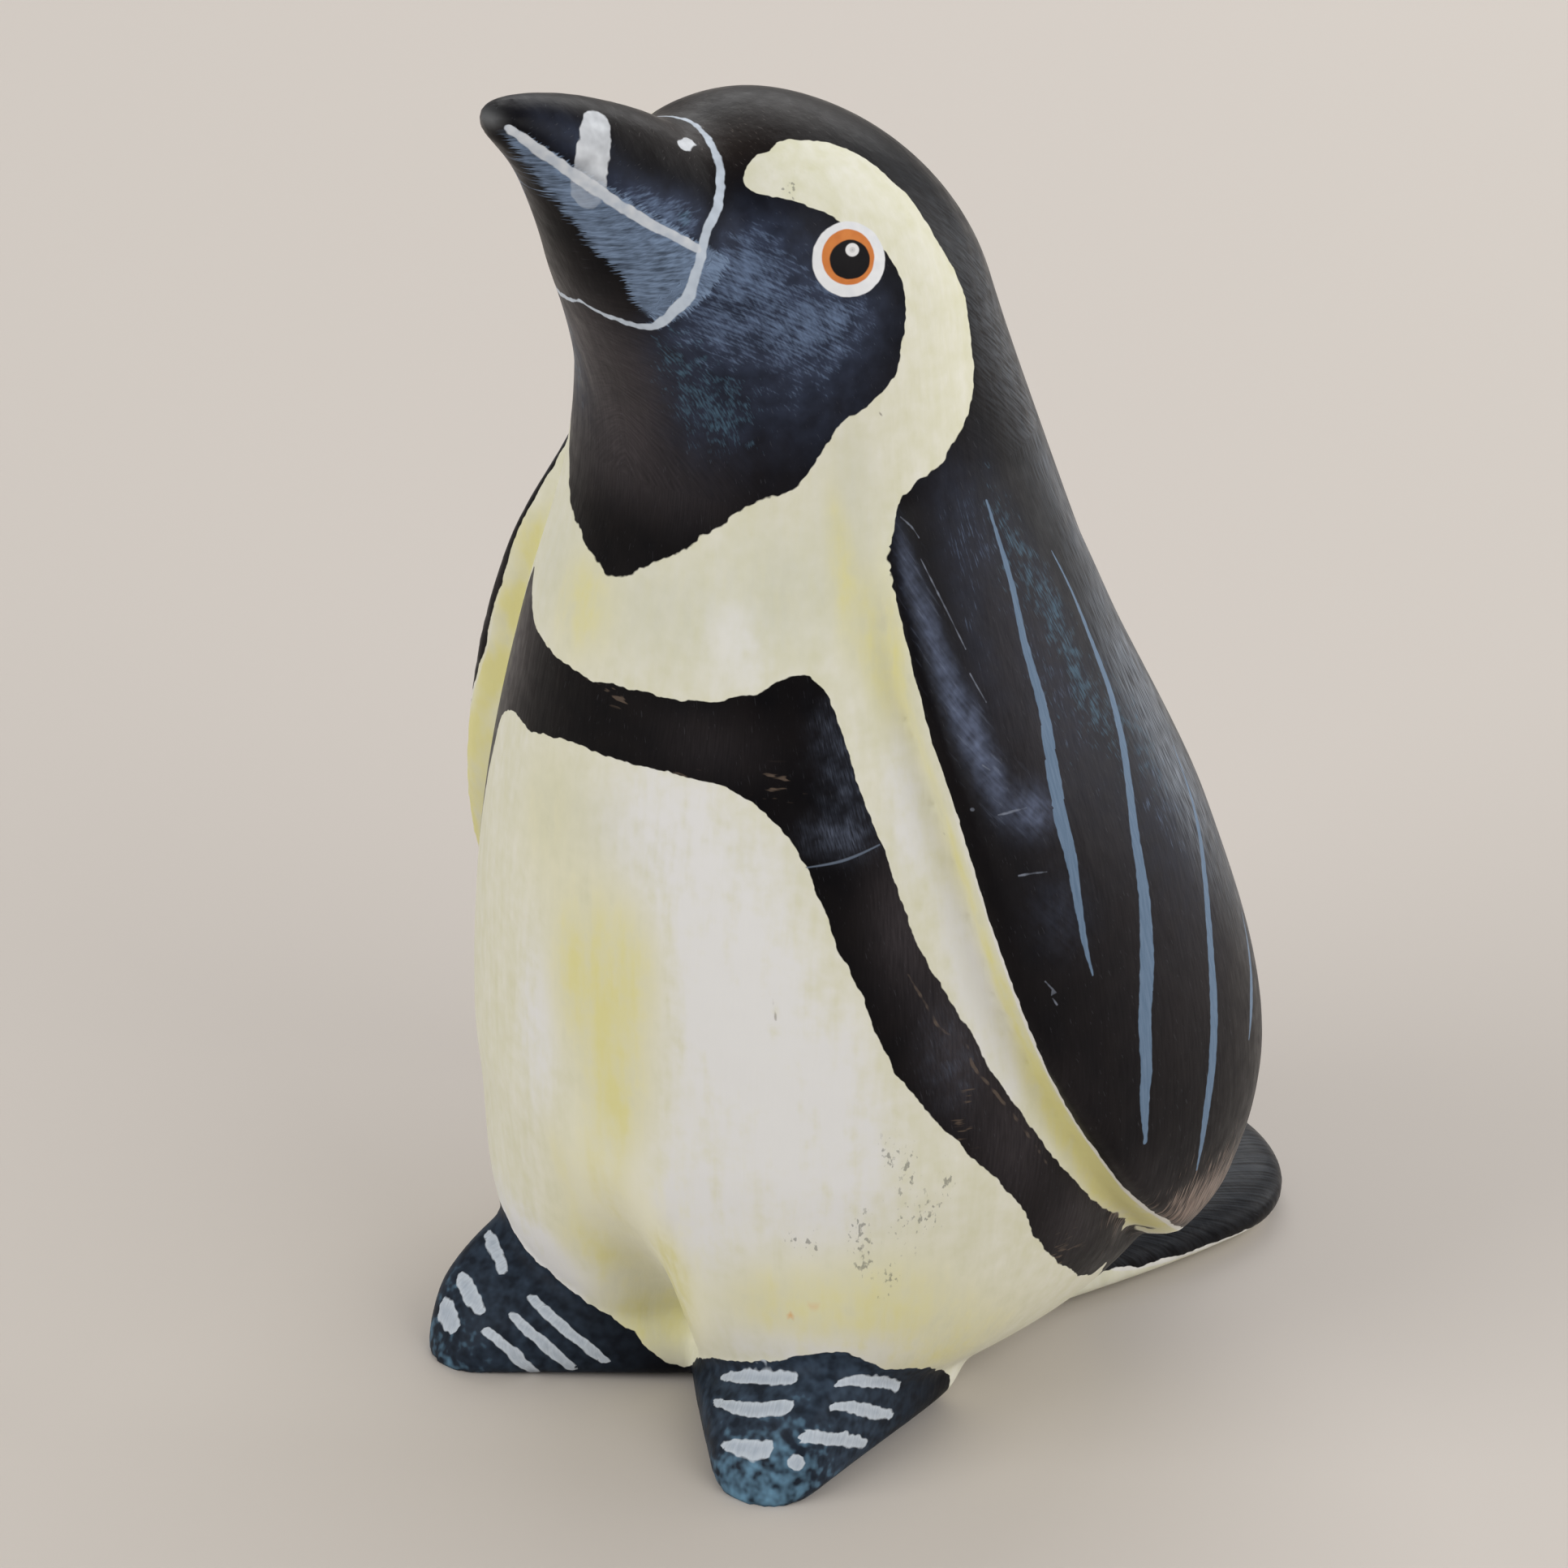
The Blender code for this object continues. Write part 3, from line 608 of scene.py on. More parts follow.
# Places on the body are degrees round and height. A key that ends in Both counts the degrees
# on either side, and one that ends in Left counts them to the left, so the right can differ.
bodyPaint = {
    "perDegree": 0.38,  # millimetres to a degree, near enough all over the trunk
    "washes": (
        "yellowLeft", "whiteLeft", "blueBoth", "tealBoth", "hazeBoth", "sheenBoth", "wrinkleBoth",
        "gleamLeft", "dustLeft", "duskLeft", "paleLeft", "brownBoth", "scuffLeft", "smudgeLeft", "orangeLeft",
    ),
    # millimetres round, with the height of the flipper's lip counted in, and height
    "wing": (
        (30.5, 68), (28.6, 66.6), (27, 65.5), (25.7, 64.8), (24.7, 63.6), (24.1, 62.2), (24, 61.1),
        (24.05, 60.2), (24.25, 59.1), (24.6, 57.5), (25.05, 55.7), (25.5, 53.5), (25.9, 51.1),
        (26.3, 49.2), (26.55, 46.9), (26.65, 44.8), (26.8, 42.3), (27.05, 40), (27.4, 37.9), (27.8, 35.7),
        (28.1, 33), (28.45, 30.2), (29, 27.2), (30.1, 24.1), (31.7, 21.3), (33.5, 18.7), (35.2, 16.9),
        (37, 15), (39, 13.2), (41.2, 11.6), (43.4, 10.4), (45.6, 9.8), (48, 9.2), (49.4, 4), (57, 1.2),
        (80, 1.2), (80, 68),
    ),
    "wingBelow": 66,
    "rightBehind": 2.4,  # how far its edge lies back on the right side, between two fades
    "rightFades": ((20, 30), (37, 47)),
    "lipReach": 3.2,
    "lipFrom": (56, 60),  # degrees
    "flank": (
        (94.8, 9.4), (94.6, 10.6), (95.4, 11.6), (97.5, 12), (100, 10.9), (105, 10), (112, 9.4), (124, 10),
        (130, 6), (128, 2.6), (118, 3.2), (108, 4.6), (100, 7),
    ),
    "bandLeft": (
        (-44.5, 54.9), (-38.2, 53.7), (-30, 52.5), (-20.4, 51.9), (-12.2, 51.9), (-6.9, 51.7), (-1.5, 52),
        (7.1, 52.3), (18, 52.7), (23.8, 53.1), (29.3, 53.6), (33, 54.3), (36.5, 54.7), (40.1, 54.9),
        (42.8, 54.3), (45.1, 53.1), (46.4, 51.5), (47.8, 49.4), (48.9, 47.2), (50.4, 45.1), (51.6, 42.9),
        (52.9, 40.8), (54.2, 38.4), (56.2, 36), (58.8, 33.9), (61.2, 31.4), (63.6, 28.4), (67.9, 25.6),
        (70.6, 23.4), (75.2, 20.5), (79.3, 18.7), (85.2, 16.1), (94.1, 12.7), (95.2, 10.8), (93.6, 8.7),
        (89.1, 9.4), (82.5, 11.4), (76.2, 13.6), (71.1, 16.3), (68, 18.7), (65.1, 20.3), (61.5, 22.1),
        (57.3, 24), (53.3, 26.1), (50.5, 28), (47.4, 30), (45.7, 32.2), (43.7, 35.1), (41.1, 37.9),
        (39.1, 40.5), (36.9, 43), (34.9, 44.6), (31, 45.9), (26.7, 46.9), (20.9, 47.6), (15.7, 47.7),
        (8.1, 47.7), (0, 47.4), (-8.4, 47.3), (-19.7, 46.5), (-23.2, 46.3), (-31, 46.3), (-37, 45.6),
        (-41, 44.3), (-43.5, 41), (-46.5, 36.5), (-49.5, 31.5), (-54, 27.5), (-60, 23), (-67, 19),
        (-73, 14.5), (-82, 11), (-91, 9), (-95.5, 10.6), (-93.5, 13), (-84, 16.6), (-77, 20), (-70, 24.2),
        (-63, 29.5), (-58.5, 34.5), (-55, 40), (-52, 45.5), (-49, 50),
    ),
    "yellowLeft": (
        (-1, 32, 9.5, 6.5, 0.8), (2, 24.5, 6, 4.5, 0.6), (-1, 18, 4, 4.5, 0.45), (-9, 10.5, 8, 4.5, 0.55),
        (-5, 4.5, 8, 3, 0.65), (-10, 18, 5, 3.5, 0.35), (9, 11, 5, 5, 0.75), (6, 35, 5, 4, 0.35),
        (28, 12, 12, 3.5, 0.4), (46, 12.5, 16, 5, 0.5), (62, 8, 16, 4, 0.5), (-14, 56, 12, 4, 0.55),
        (20, 55.5, 10, 3, 0.2), (50, 61, 4, 5.5, 0.6), (55.5, 55.5, 3, 4.5, 0.6), (60.5, 58, 2, 5, 0.4),
        (-14, 42, 10, 6, 0.35), (-60, 54.8, 3.5, 2.2, 0.7), (-61.8, 49.5, 3, 2, 0.7),
        (-63.9, 44.1, 3, 2.2, 0.7), (-65.8, 37.9, 3, 2.4, 0.6), (-67.4, 33.5, 3, 3, 0.7),
    ),
    "groove": ((12, 1), (16, 1.2), (24, 1.1), (34, 0.85), (44, 0.55), (56, 0.35), (63, 0.05)),
    "grooveFrom": ((12, 1.3), (30, 1.3), (45, 2), (63, 2.4)),
    "grooveSpread": 1.3,
    "whiteLeft": (
        (12, 44, 12, 6, 0.7), (25, 33, 14, 12, 0.95), (36, 24, 12, 8, 0.8), (-14, 27, 6, 7, 0.6),
        (15, 18, 8, 6, 0.7), (24, 56, 10, 3, 0.5), (57, 46, 4, 5, 0.8), (62, 36, 3.5, 6, 0.9),
        (66, 29, 3.5, 5, 0.6), (-30, 8, 12, 4, 0.6), (40, 8.6, 16, 2, 0.95), (-20, 8, 14, 2.4, 0.9),
    ),
    "blueBoth": (
        (84, 62, 8, 3.5, 0.42), (77, 57, 4, 6, 0.3), (90, 52, 7, 7, 0.36), (104, 42, 10, 7, 0.38),
    ),
    "tealBoth": (
        (96.5, 56.5, 5, 4.5, 0.6), (96.5, 50.5, 5, 5, 0.56), (106, 46.5, 7, 6, 0.52),
        (92.5, 61.5, 5, 4, 0.52), (88, 52, 3, 8, 0.3),
    ),
    # blue-grey haze of dry brushing, with a painted reflection along the back edges of the flippers and the
    # head
    "hazeBoth": (
        (119, 48.5, 9, 6.5, 0.9), (116, 42, 8, 5, 0.75), (126, 57, 10, 6, 0.5), (111, 46, 5, 8, 0.5),
        (122, 35, 8, 6, 0.4), (119, 73, 16, 8, 0.3), (124, 63, 10, 7, 0.32), (150, 5, 40, 2.5, 0.22),
    ),
    # painted reflection: a bluish sheen along the flippers' front edges, and a painted highlight on a dent
    # behind them
    "sheenBoth": (
        (65.2, 60.5, 1.7, 2.6, 0.6), (66.9, 57.2, 1.7, 2.6, 0.75), (68.2, 53.8, 1.9, 2.6, 0.85),
        (70.4, 50.9, 2.2, 2.4, 1), (71.8, 48.2, 2.2, 1.8, 0.6), (77, 46, 4, 1.3, 0.75),
        (77, 39.5, 5, 2.5, 0.12),
    ),
    # painted highlights: a bluish shine on the band about its crease and towards its ends
    "gleamLeft": (
        (45.5, 50.5, 4.5, 2.6, 0.5), (43.5, 44.9, 5.5, 1.1, 0.95), (46, 47, 3.5, 2.2, 0.5),
        (57, 30, 4, 3, 0.35), (-50, 47, 6, 6, 0.4),
    ),
    # wrinkles behind the flippers' front edges: a little relief, and painted highlights on their ridges
    "wrinkleBoth": (
        (66, 59, 3, 4, 0.8), (68.5, 54.5, 3, 3.5, 0.9), (70.5, 50, 3, 3, 1), (74, 47.5, 3, 2, 0.8),
    ),
    # dust on the band and the flipper, with a painted reflection at the band's right end
    "dustLeft": (
        (53, 39, 6, 4.5, 0.7), (59, 31, 6, 5, 0.7), (67, 24, 7, 5, 0.65), (80, 16.5, 8, 4, 0.55),
        (86, 53, 14, 11, 0.38), (98, 33, 18, 12, 0.25), (-45, 50, 14, 4.5, 0.8), (20, 50, 12, 2, 0.25),
    ),
    # painted shade: the cream greyed on the chest and neck, where the head shades them
    "duskLeft": (
        (8, 57.5, 22, 4, 0.55), (34, 60, 14, 4.5, 0.6), (52, 62.5, 7, 5, 0.6), (58, 56, 4, 5, 0.5),
        (-30, 57, 14, 4, 0.4), (10, 43, 30, 3, 0.5), (58, 67.5, 6, 4, 0.3),
    ),
    # painted light: paler cream in the hollow between the thighs, against the shade there
    "paleLeft": ((7, 14, 8, 6, 0.95), (12, 9, 6, 5, 0.9), (-3, 16, 6, 6, 0.6)),
    "brownBoth": ((103, 14.2, 10, 3, 0.95), (118, 13, 10, 3.5, 0.85), (94, 15, 6, 3, 0.6)),
    "scuffLeft": (
        (-1.5, 51.5, 5, 0.5, 0.9), (14.9, 47.7, 2, 0.35, 0.8), (33, 48.1, 3, 0.7, 0.8),
        (57.7, 25, 1.5, 1.5, 0.5), (59.5, 27.2, 1, 1, 0.6), (77, 13.5, 5, 1.5, 0.5),
    ),
    "smudgeLeft": (
        (46.1, 23.8, 1.5, 1, 0.8), (48.9, 22.8, 1.2, 1.2, 0.8), (55, 21.4, 1.2, 1.2, 0.9),
        (52.4, 19, 2, 1, 0.8), (41.8, 18, 1.6, 1.6, 0.9), (34.1, 17.1, 1.3, 0.7, 0.95),
        (31.2, 17.2, 1.2, 0.5, 0.8), (42.9, 15.6, 1.2, 0.9, 1), (47.4, 15.2, 1, 1, 0.7),
        (46.4, 13.4, 1, 1, 0.5), (49, 19.5, 3, 3, 0.4),
    ),
    "orangeLeft": ((31.7, 11.5, 0.35, 0.14, 1), (35.2, 12.4, 0.4, 0.14, 1)),
    # thin lines on both flippers: degrees round, height, half width
    "stripe": (
        ((90.6, 63.3, 0.1), (90, 60.9, 0.18), (89, 58.4, 0.25), (87.1, 55.3, 0.32), (86, 51.2, 0.42),
         (83.6, 48.1, 0.52), (81.7, 44.8, 0.52), (81.2, 42.4, 0.42), (80.2, 40, 0.3), (79.6, 37.2, 0.18),
         (79.7, 34.9, 0.04)),
        ((104.5, 58.8, 0.06), (105.3, 56.4, 0.16), (105, 53.4, 0.24), (103.9, 50.3, 0.32),
         (100.9, 47.5, 0.34), (96.8, 44.4, 0.33), (93.6, 41.4, 0.36), (91.5, 37.6, 0.42),
         (89.2, 34, 0.46), (86.5, 30.4, 0.42), (85.5, 27.6, 0.4), (84.4, 25.2, 0.32), (84.4, 22.4, 0.1)),
        ((117.8, 43.8, 0.06), (115.2, 41.2, 0.16), (111.9, 38.7, 0.28), (107.2, 35.6, 0.34),
         (103, 32.2, 0.34), (100.6, 29.4, 0.38), (97.4, 25, 0.34), (95.6, 21.4, 0.26),
         (95.6, 17.8, 0.05)),
        ((121, 31, 0.08), (117, 28.4, 0.26), (113, 26.4, 0.3), (109.5, 24.3, 0.06)),
    ),
    "scratch": (  # on the left flipper only
        ((70.6, 46.4, 0.03), (73.3, 46.35, 0.06), (76.1, 46.3, 0.03)),
        ((71.3, 42.5, 0.03), (73.7, 42.4, 0.06), (76.2, 42.2, 0.03)),
        ((66.6, 63.9, 0.04), (68.6, 63.3, 0.05), (69.8, 62.6, 0.03)),
        ((68.9, 61.4, 0.03), (71.1, 59, 0.06), (73.4, 56.1, 0.03)),
        ((72.9, 54.7, 0.03), (74.6, 52.9, 0.05)),
        ((66.3, 47.1, 0.1), (66.5, 47.1, 0.1)),
        ((71.8, 35.5, 0.03), (73.1, 34.6, 0.05)), ((72.4, 34.3, 0.03), (72.9, 33.8, 0.04)),
        ((70.3, 49.5, 0.03), (71.4, 49.1, 0.05)),
    ),
    # a crease in the clay across the band, with a painted highlight along it
    "creaseAndHighlight": (((37, 43, 0.04), (43.8, 43.5, 0.09), (50.6, 44.4, 0.05)),),
    "bareLine": (
        ((52.1, 36, 0.04), (54.8, 33.5, 0.07), (56.1, 32.2, 0.07), (60, 30.9, 0.05), (60.5, 29.4, 0.07),
         (63.2, 27.6, 0.06), (67.6, 24.6, 0.07), (72.1, 21.3, 0.04)),
        ((62.7, 44.6, 0.09), (62.9, 44.5, 0.09)), ((66.6, 70.7, 0.06), (67.3, 70.4, 0.05)),
        ((29.5, 34.2, 0.04), (29.7, 32.8, 0.05)), ((21, 40.5, 0.05), (21.4, 40.3, 0.05)),
    ),
}

tailPaint = {"from": 1.9, "clear": 1.6, "behind": 9, "below": 8, "corner": 2.4}

# Along the foot and round it from the top
footPaint = {
    "round": 5.5,  # radius the way round is counted on
    "toeEnd": 0.96,  # share of the toe's rounding that is followed
    # degrees round either side, and the height that the dark paint reaches
    "top": (
        (-12, -2), (-4, 0.6), (0, 1.2), (3, 1.7), (8.6, 3.6), (16, 5.4), (22, 6.3), (28, 7.1), (33, 8),
        (37, 8.8), (41, 8.9), (45.4, 8.2), (50.5, 6.9), (56, 6.3), (62, 5), (70, 3), (78, -1),
    ),
    "rootFrom": -3,
    "leftDashes": (
        ((8.4, -4, 0.2), (9.1, -2.6, 0.36), (9.9, -1, 0.4), (10.7, 0.6, 0.3)),
        ((9.9, -5.3, 0.26), (11.7, -1.9, 0.42), (12.4, 0.9, 0.4)),
        ((13.2, -4.8, 0.26), (13.9, -1.8, 0.4), (14.2, 0.3, 0.32)),
        ((10.6, 4.4, 0.24), (8.9, 6.7, 0.32), (6.5, 8.4, 0.24)),
        ((11.8, 5.3, 0.24), (9.9, 7.9, 0.32), (7, 9.7, 0.26)),
        ((13.7, 3.4, 0.26), (12.7, 7.4, 0.34), (9.4, 10.1, 0.26)),
    ),
    "toeDot": ((15.6, -24.8, 3), 0.55),
    "rightDashes": (
        ((10.8, 2.6, 0.25), (10.8, 0.9, 0.4), (10.7, -0.3, 0.3)),
        ((13.2, 1.3, 0.25), (13, -0.4, 0.42), (12.7, -2.2, 0.3)),
        ((14.6, 1.7, 0.25), (14.4, -0.1, 0.42), (14.3, -2, 0.32)),
        ((9.6, -2.8, 0.3), (7.9, -6.3, 0.42), (5.8, -9.3, 0.36)),
        ((11, -3.8, 0.3), (9.5, -7.3, 0.42), (7.7, -10.2, 0.36)),
        ((12.7, -4.3, 0.3), (11.2, -8.4, 0.42), (9.9, -10.8, 0.3)),
    ),
}

# Along the beak, and millimetres round it from its side
beakPaint = {
    "round": 6.5,
    "baseLine": (
        ((0, 90, 0.14), (0.1, 76, 0.17), (0.1, 61, 0.2), (0, 48, 0.24), (0, 27, 0.27),
         (0.2, 13, 0.27), (-0.1, 1, 0.26), (-0.5, -9, 0.28), (-1.1, -21, 0.32), (-1.2, -30, 0.3),
         (-1.4, -38, 0.26), (-1.5, -47, 0.22), (-1.1, -56, 0.2), (-0.5, -68, 0.16),
         (0.3, -90, 0.1)),
    ),
    "nostril": (((2.35, 6.35, 0.38), (1.5, 7.1, 0.42)),),
    # along the beak and up
    "gape": (((13.2, 0.5, 0.22), (11, 0.32, 0.3), (8.5, 0.2, 0.33), (4.2, 0, 0.33), (0.3, 0.2, 0.28)),),
    # along the beak and degrees round it, on a radius of so many millimetres
    "barRound": 3.5,
    "bar": ((8.4, 51, 0.92), (8.5, 44, 0.98), (8.35, 30, 0.98), (8, 17, 0.95), (7.5, 4, 0.9),
            (6.9, -9, 0.8)),
    "lowerEdge": ((-1.5, -4.9), (-0.8, -4.5), (0.3, -4.3), (1.6, -3.5), (3.8, -2.9), (6.1, -2),
                  (8, -1.4), (11, -0.5), (13, 0)),
    "blue": ((3.4, 0.9, 2.2, 1.2, 0.75), (1.6, 1.6, 1.4, 1.2, 0.6), (5.8, 0.9, 1.2, 0.9, 0.4),
             (9.5, 2, 2.4, 1, 0.35)),
    "teal": ((1.7, 1.3, 0.7, 0.6, 0.9),),
    # a painted highlight on the beak's tip
    "tip": ((14.2, 0.3, 0.6, 0.7, 0.8),),
    "from": -1.7,
}


# Signed distances for all the dark paint, washes, and maps of strokes: one number for each
# corner of the mesh under each name
def paintMaps(points):
    z = points[:, 2]
    angle = bodyAngle(points)
    both = np.abs(angle)
    perDegree = bodyPaint["perDegree"]
    isLeft = points[:, 0] > 0
    maps = {}

    # Places on the body with their degrees made into millimetres
    def flat(places):
        places = np.array(places, float)
        places[:, 0] *= perDegree
        return places

    head = beakShape["turn"]
    back, up = headPlaces(points, head)
    capeTurn = head * ease(z, headPaint["straightBelow"], headPaint["turnedAbove"])
    capeBack, capeUp = headPlaces(points, capeTurn)
    face = np.minimum(insideDistance(back, up, headPaint["patch"]), z - headPaint["patchAbove"])
    cape = np.minimum(insideDistance(capeBack, capeUp, headPaint["cape"]), z - headPaint["capeAbove"])
    own = bodyPoint(angle, z)
    middle = bodySection(z)[1]
    standoff = np.hypot(points[:, 0], points[:, 1] - middle) - np.hypot(own[..., 0], own[..., 1] - middle)
    lipRise = np.clip(standoff, 0, bodyPaint["lipReach"]) * ease(both, *bodyPaint["lipFrom"])
    wing = insideDistance(both * perDegree + lipRise, z, bodyPaint["wing"])
    wing = np.minimum(wing, bodyPaint["wingBelow"] - z)
    lowFade, highFade = bodyPaint["rightFades"]
    behind = bodyPaint["rightBehind"] * ease(z, *lowFade) * (1 - ease(z, *highFade))
    wing = wing - np.where(isLeft, 0, behind)
    flank = insideDistance(both * perDegree, z, flat(bodyPaint["flank"]))
    band = insideDistance(angle * perDegree, z, flat(bodyPaint["bandLeft"]), 4)
    level, ahead = z - tailPaint["from"], points[:, 1] - tailPaint["behind"]
    corner = tailPaint["corner"]
    rounded = corner - np.hypot(np.maximum(corner - level, 0), np.maximum(corner - ahead, 0))
    tail = np.minimum.reduce([level, ahead, np.where(level < corner, rounded, ahead)])
    tail = np.minimum(tail, standoff - tailPaint["clear"])
    tail = np.where(z < tailPaint["below"], tail, -9)
    maps["dark"] = np.maximum.reduce([face, cape, wing, flank, band, tail])
    maps["wing"] = wing
    maps["eyeBack"], maps["eyeUp"] = back, up
    maps["turn"] = both * perDegree
    for key in bodyPaint["washes"]:
        name = key.replace("Left", "").replace("Both", "")
        wash = washMap(angle if key.endswith("Left") else both, z, bodyPaint[key])
        if name in headPaint:
            onHead = washMap(back, up, headPaint[name])
            onHead = onHead * ease(z, headPaint["washFrom"], headPaint["washFrom"] + 4)
            wash = 1 - (1 - wash) * (1 - onHead)
        maps[name] = wash
    groove = smoothCurve(bodyPaint["groove"], z)
    nearEdge = hill(-wing, smoothCurve(bodyPaint["grooveFrom"], z), bodyPaint["grooveSpread"])
    groove = groove * nearEdge * ease(z, 10, 13)
    maps["yellow"] = 1 - (1 - maps["yellow"]) * (1 - groove)

    along, x, lift = birdToBeak(points)
    onBeak = (along > beakPaint["from"] - 1) & (z > headPaint["straightBelow"])
    for name in ("blue", "teal"):
        wash = washMap(along, lift, beakPaint[name]) * ease(along, -1, 0) * onBeak
        maps[name] = 1 - (1 - maps[name] * (1 - ease(along, -1, 0) * onBeak)) * (1 - wash)
    # painted highlight on the beak's tip
    maps["tip"] = washMap(along, lift, beakPaint["tip"]) * onBeak
    mandible = np.minimum(lift - smoothCurve(beakPaint["lowerEdge"], along), 0.6 - lift)
    mandible = np.minimum(mandible, along - beakPaint["from"])
    maps["mandible"] = np.where(onBeak, mandible, -3)
    maps["beakAlong"], maps["beakLift"] = along, lift

    def strokes(name, u, v, rows, allowed):
        side, over, half = strokeMap(u, v, rows)
        maps[name + "Side"], maps[name + "Over"] = side, over
        maps[name + "Half"] = np.where(allowed, half, -1)

    # A row of places along the beak with their degrees round it laid out on a radius
    def laidRound(row, radius):
        return [(ahead, math.radians(degrees) * radius, half) for ahead, degrees, half in row]

    turnBeak = np.arctan2(lift, np.abs(x))
    roundBeak = turnBeak * beakPaint["round"]
    ring = [laidRound(row, beakPaint["round"]) for row in beakPaint["baseLine"]]
    strokes("ring", along, roundBeak, ring, onBeak)
    strokes("gape", along, lift, beakPaint["gape"], onBeak)
    strokes("stripe", both * perDegree, z, [flat(row) for row in bodyPaint["stripe"]], both > 60)
    for name in ("scratch", "creaseAndHighlight", "bareLine"):
        strokes(name, angle * perDegree, z, [flat(row) for row in bodyPaint[name]], isLeft)

    leftAlong, leftRound = footPlaces(points, leftFoot)
    rightAlong, rightRound = footPlaces(points, rightFoot)
    footAlong = np.where(isLeft, leftAlong, rightAlong)
    maps["footAlong"] = footAlong
    maps["foot"] = np.minimum(smoothCurve(footPaint["top"], both) - z, footAlong - footPaint["rootFrom"])

    # Distance inside short strokes, at all places
    def dash(u, v, rows, allowed):
        side, over, half = strokeMap(u, v, rows, 9.0)
        return np.where(allowed, half - np.hypot(side, np.maximum(over, 0)), -1)

    onFoot = maps["foot"] > -1
    maps["dash"] = np.maximum(dash(leftAlong, leftRound, footPaint["leftDashes"], onFoot & isLeft),
                              dash(rightAlong, rightRound, footPaint["rightDashes"], onFoot & ~isLeft))
    toeDot, dotSize = footPaint["toeDot"]
    maps["dash"] = np.maximum(maps["dash"], dotSize - np.linalg.norm(points - toeDot, axis=1))
    bar = laidRound(beakPaint["bar"], beakPaint["barRound"])
    maps["bar"] = np.maximum(dash(along, turnBeak * beakPaint["barRound"], [bar], onBeak),
                             dash(along, roundBeak, beakPaint["nostril"], onBeak))
    maps["onBeak"] = ease(along, beakPaint["from"] + 1, beakPaint["from"] + 1.4) * onBeak
    return maps


mesh, points = clayMesh()
print("clay shape:", len(points), "points,", len(mesh.polygons), "faces")
mesh.name = "penguin_clay"
mesh.shade_smooth()
penguin = bpy.data.objects.new("penguin_clay", mesh)
bpy.context.scene.collection.objects.link(penguin)
maps = paintMaps(points)
for name, values in maps.items():
    mesh.attributes.new(name, "FLOAT", "POINT").data.foreach_set("value", values.astype(np.float32))
print("paint maps:", len(maps))


# The paint itself

paint = bpy.data.materials.new("handPaint")
paint.use_nodes = True
tree = paint.node_tree


# Several of these stand for light and shade: the cream of the chest in shade, the paler cream in the hollow
# between the thighs, and the colours of the haze, sheen, wrinkles, gleam, the band's crease and the beak's
# tip, which are wholly or partly painted reflections and highlights, as is part of the dust colour.
paintColours = {
    "creamDeep": (0.7, 0.69, 0.5), "creamPale": (0.82, 0.81, 0.715),
    "creamInShade": (0.6, 0.605, 0.485), "creamPaintedLight": (0.9, 0.885, 0.7), "white": (0.8, 0.8, 0.79),
    "yellow": (0.745, 0.705, 0.325), "ledge": (0.81, 0.8, 0.77), "smudge": (0.1, 0.1, 0.095),
    "orangeDot": (0.75, 0.36, 0.1), "black": (0.0022, 0.002, 0.003),
    "brownBlack": (0.018, 0.013, 0.0115), "dust": (0.064, 0.055, 0.06),
    "faceTint": (0.046, 0.06, 0.104), "haze": (0.24, 0.272, 0.318), "sheen": (0.15, 0.185, 0.29),
    "wrinkle": (0.16, 0.185, 0.25), "gleam": (0.125, 0.15, 0.215), "teal": (0.07, 0.138, 0.2),
    "blue": (0.15, 0.212, 0.335), "lowerBeak": (0.195, 0.27, 0.4), "scuff": (0.115, 0.085, 0.065),
    "rubbedBrown": (0.27, 0.205, 0.17), "headBrown": (0.16, 0.13, 0.11),
    "hairGrey": (0.2, 0.21, 0.24), "beakTipHighlight": (0.3, 0.31, 0.32), "stripeDeep": (0.115, 0.18, 0.27),
    "stripePale": (0.155, 0.225, 0.325), "scratch": (0.26, 0.29, 0.36), "creaseAndHighlight": (0.16, 0.2, 0.27),
    "bareLine": (0.15, 0.115, 0.09), "footBlack": (0.0035, 0.0045, 0.008),
    "footNavy": (0.042, 0.064, 0.098), "toe": (0.15, 0.3, 0.43), "dashEdge": (0.58, 0.64, 0.71),
    "dashMiddle": (0.44, 0.5, 0.58), "ring": (0.56, 0.63, 0.72), "barThin": (0.42, 0.47, 0.55),
    "barThick": (0.68, 0.71, 0.75), "gapeThin": (0.52, 0.57, 0.64), "eyeWhiteDeep": (0.76, 0.78, 0.81),
    "eyeWhitePale": (0.84, 0.85, 0.86), "eyeOrangeDeep": (0.6, 0.185, 0.045),
    "eyeOrangePale": (0.68, 0.235, 0.06), "pupil": (0.006, 0.005, 0.006), "glint": (0.8, 0.8, 0.8),
    "glintGrey": (0.25, 0.25, 0.25),
}


# Gives a node's input a number, a colour by its name or another node's result
def feed(socket, value):
    if isinstance(value, str):
        socket.default_value = (*paintColours[value], 1)
    elif isinstance(value, Level):
        tree.links.new(value.socket, socket)
    else:
        socket.default_value = value


def sums(kind, *values):
    node = tree.nodes.new("ShaderNodeMath")
    node.operation = kind
    for socket, value in zip(node.inputs, values):
        feed(socket, value)
    return Level(node.outputs[0])


# A number that the shader works out at each place, written like ordinary sums
class Level:
    def __init__(self, socket):
        self.socket = socket

    def __add__(self, other):
        return sums("ADD", self, other)

    def __sub__(self, other):
        return sums("SUBTRACT", self, other)

    def __rsub__(self, other):
        return sums("SUBTRACT", other, self)

    def __mul__(self, other):
        return sums("MULTIPLY", self, other)

    __radd__ = __add__
    __rmul__ = __mul__


def mapped(name):
    node = tree.nodes.new("ShaderNodeAttribute")
    node.attribute_name = name
    return Level(node.outputs["Fac"])


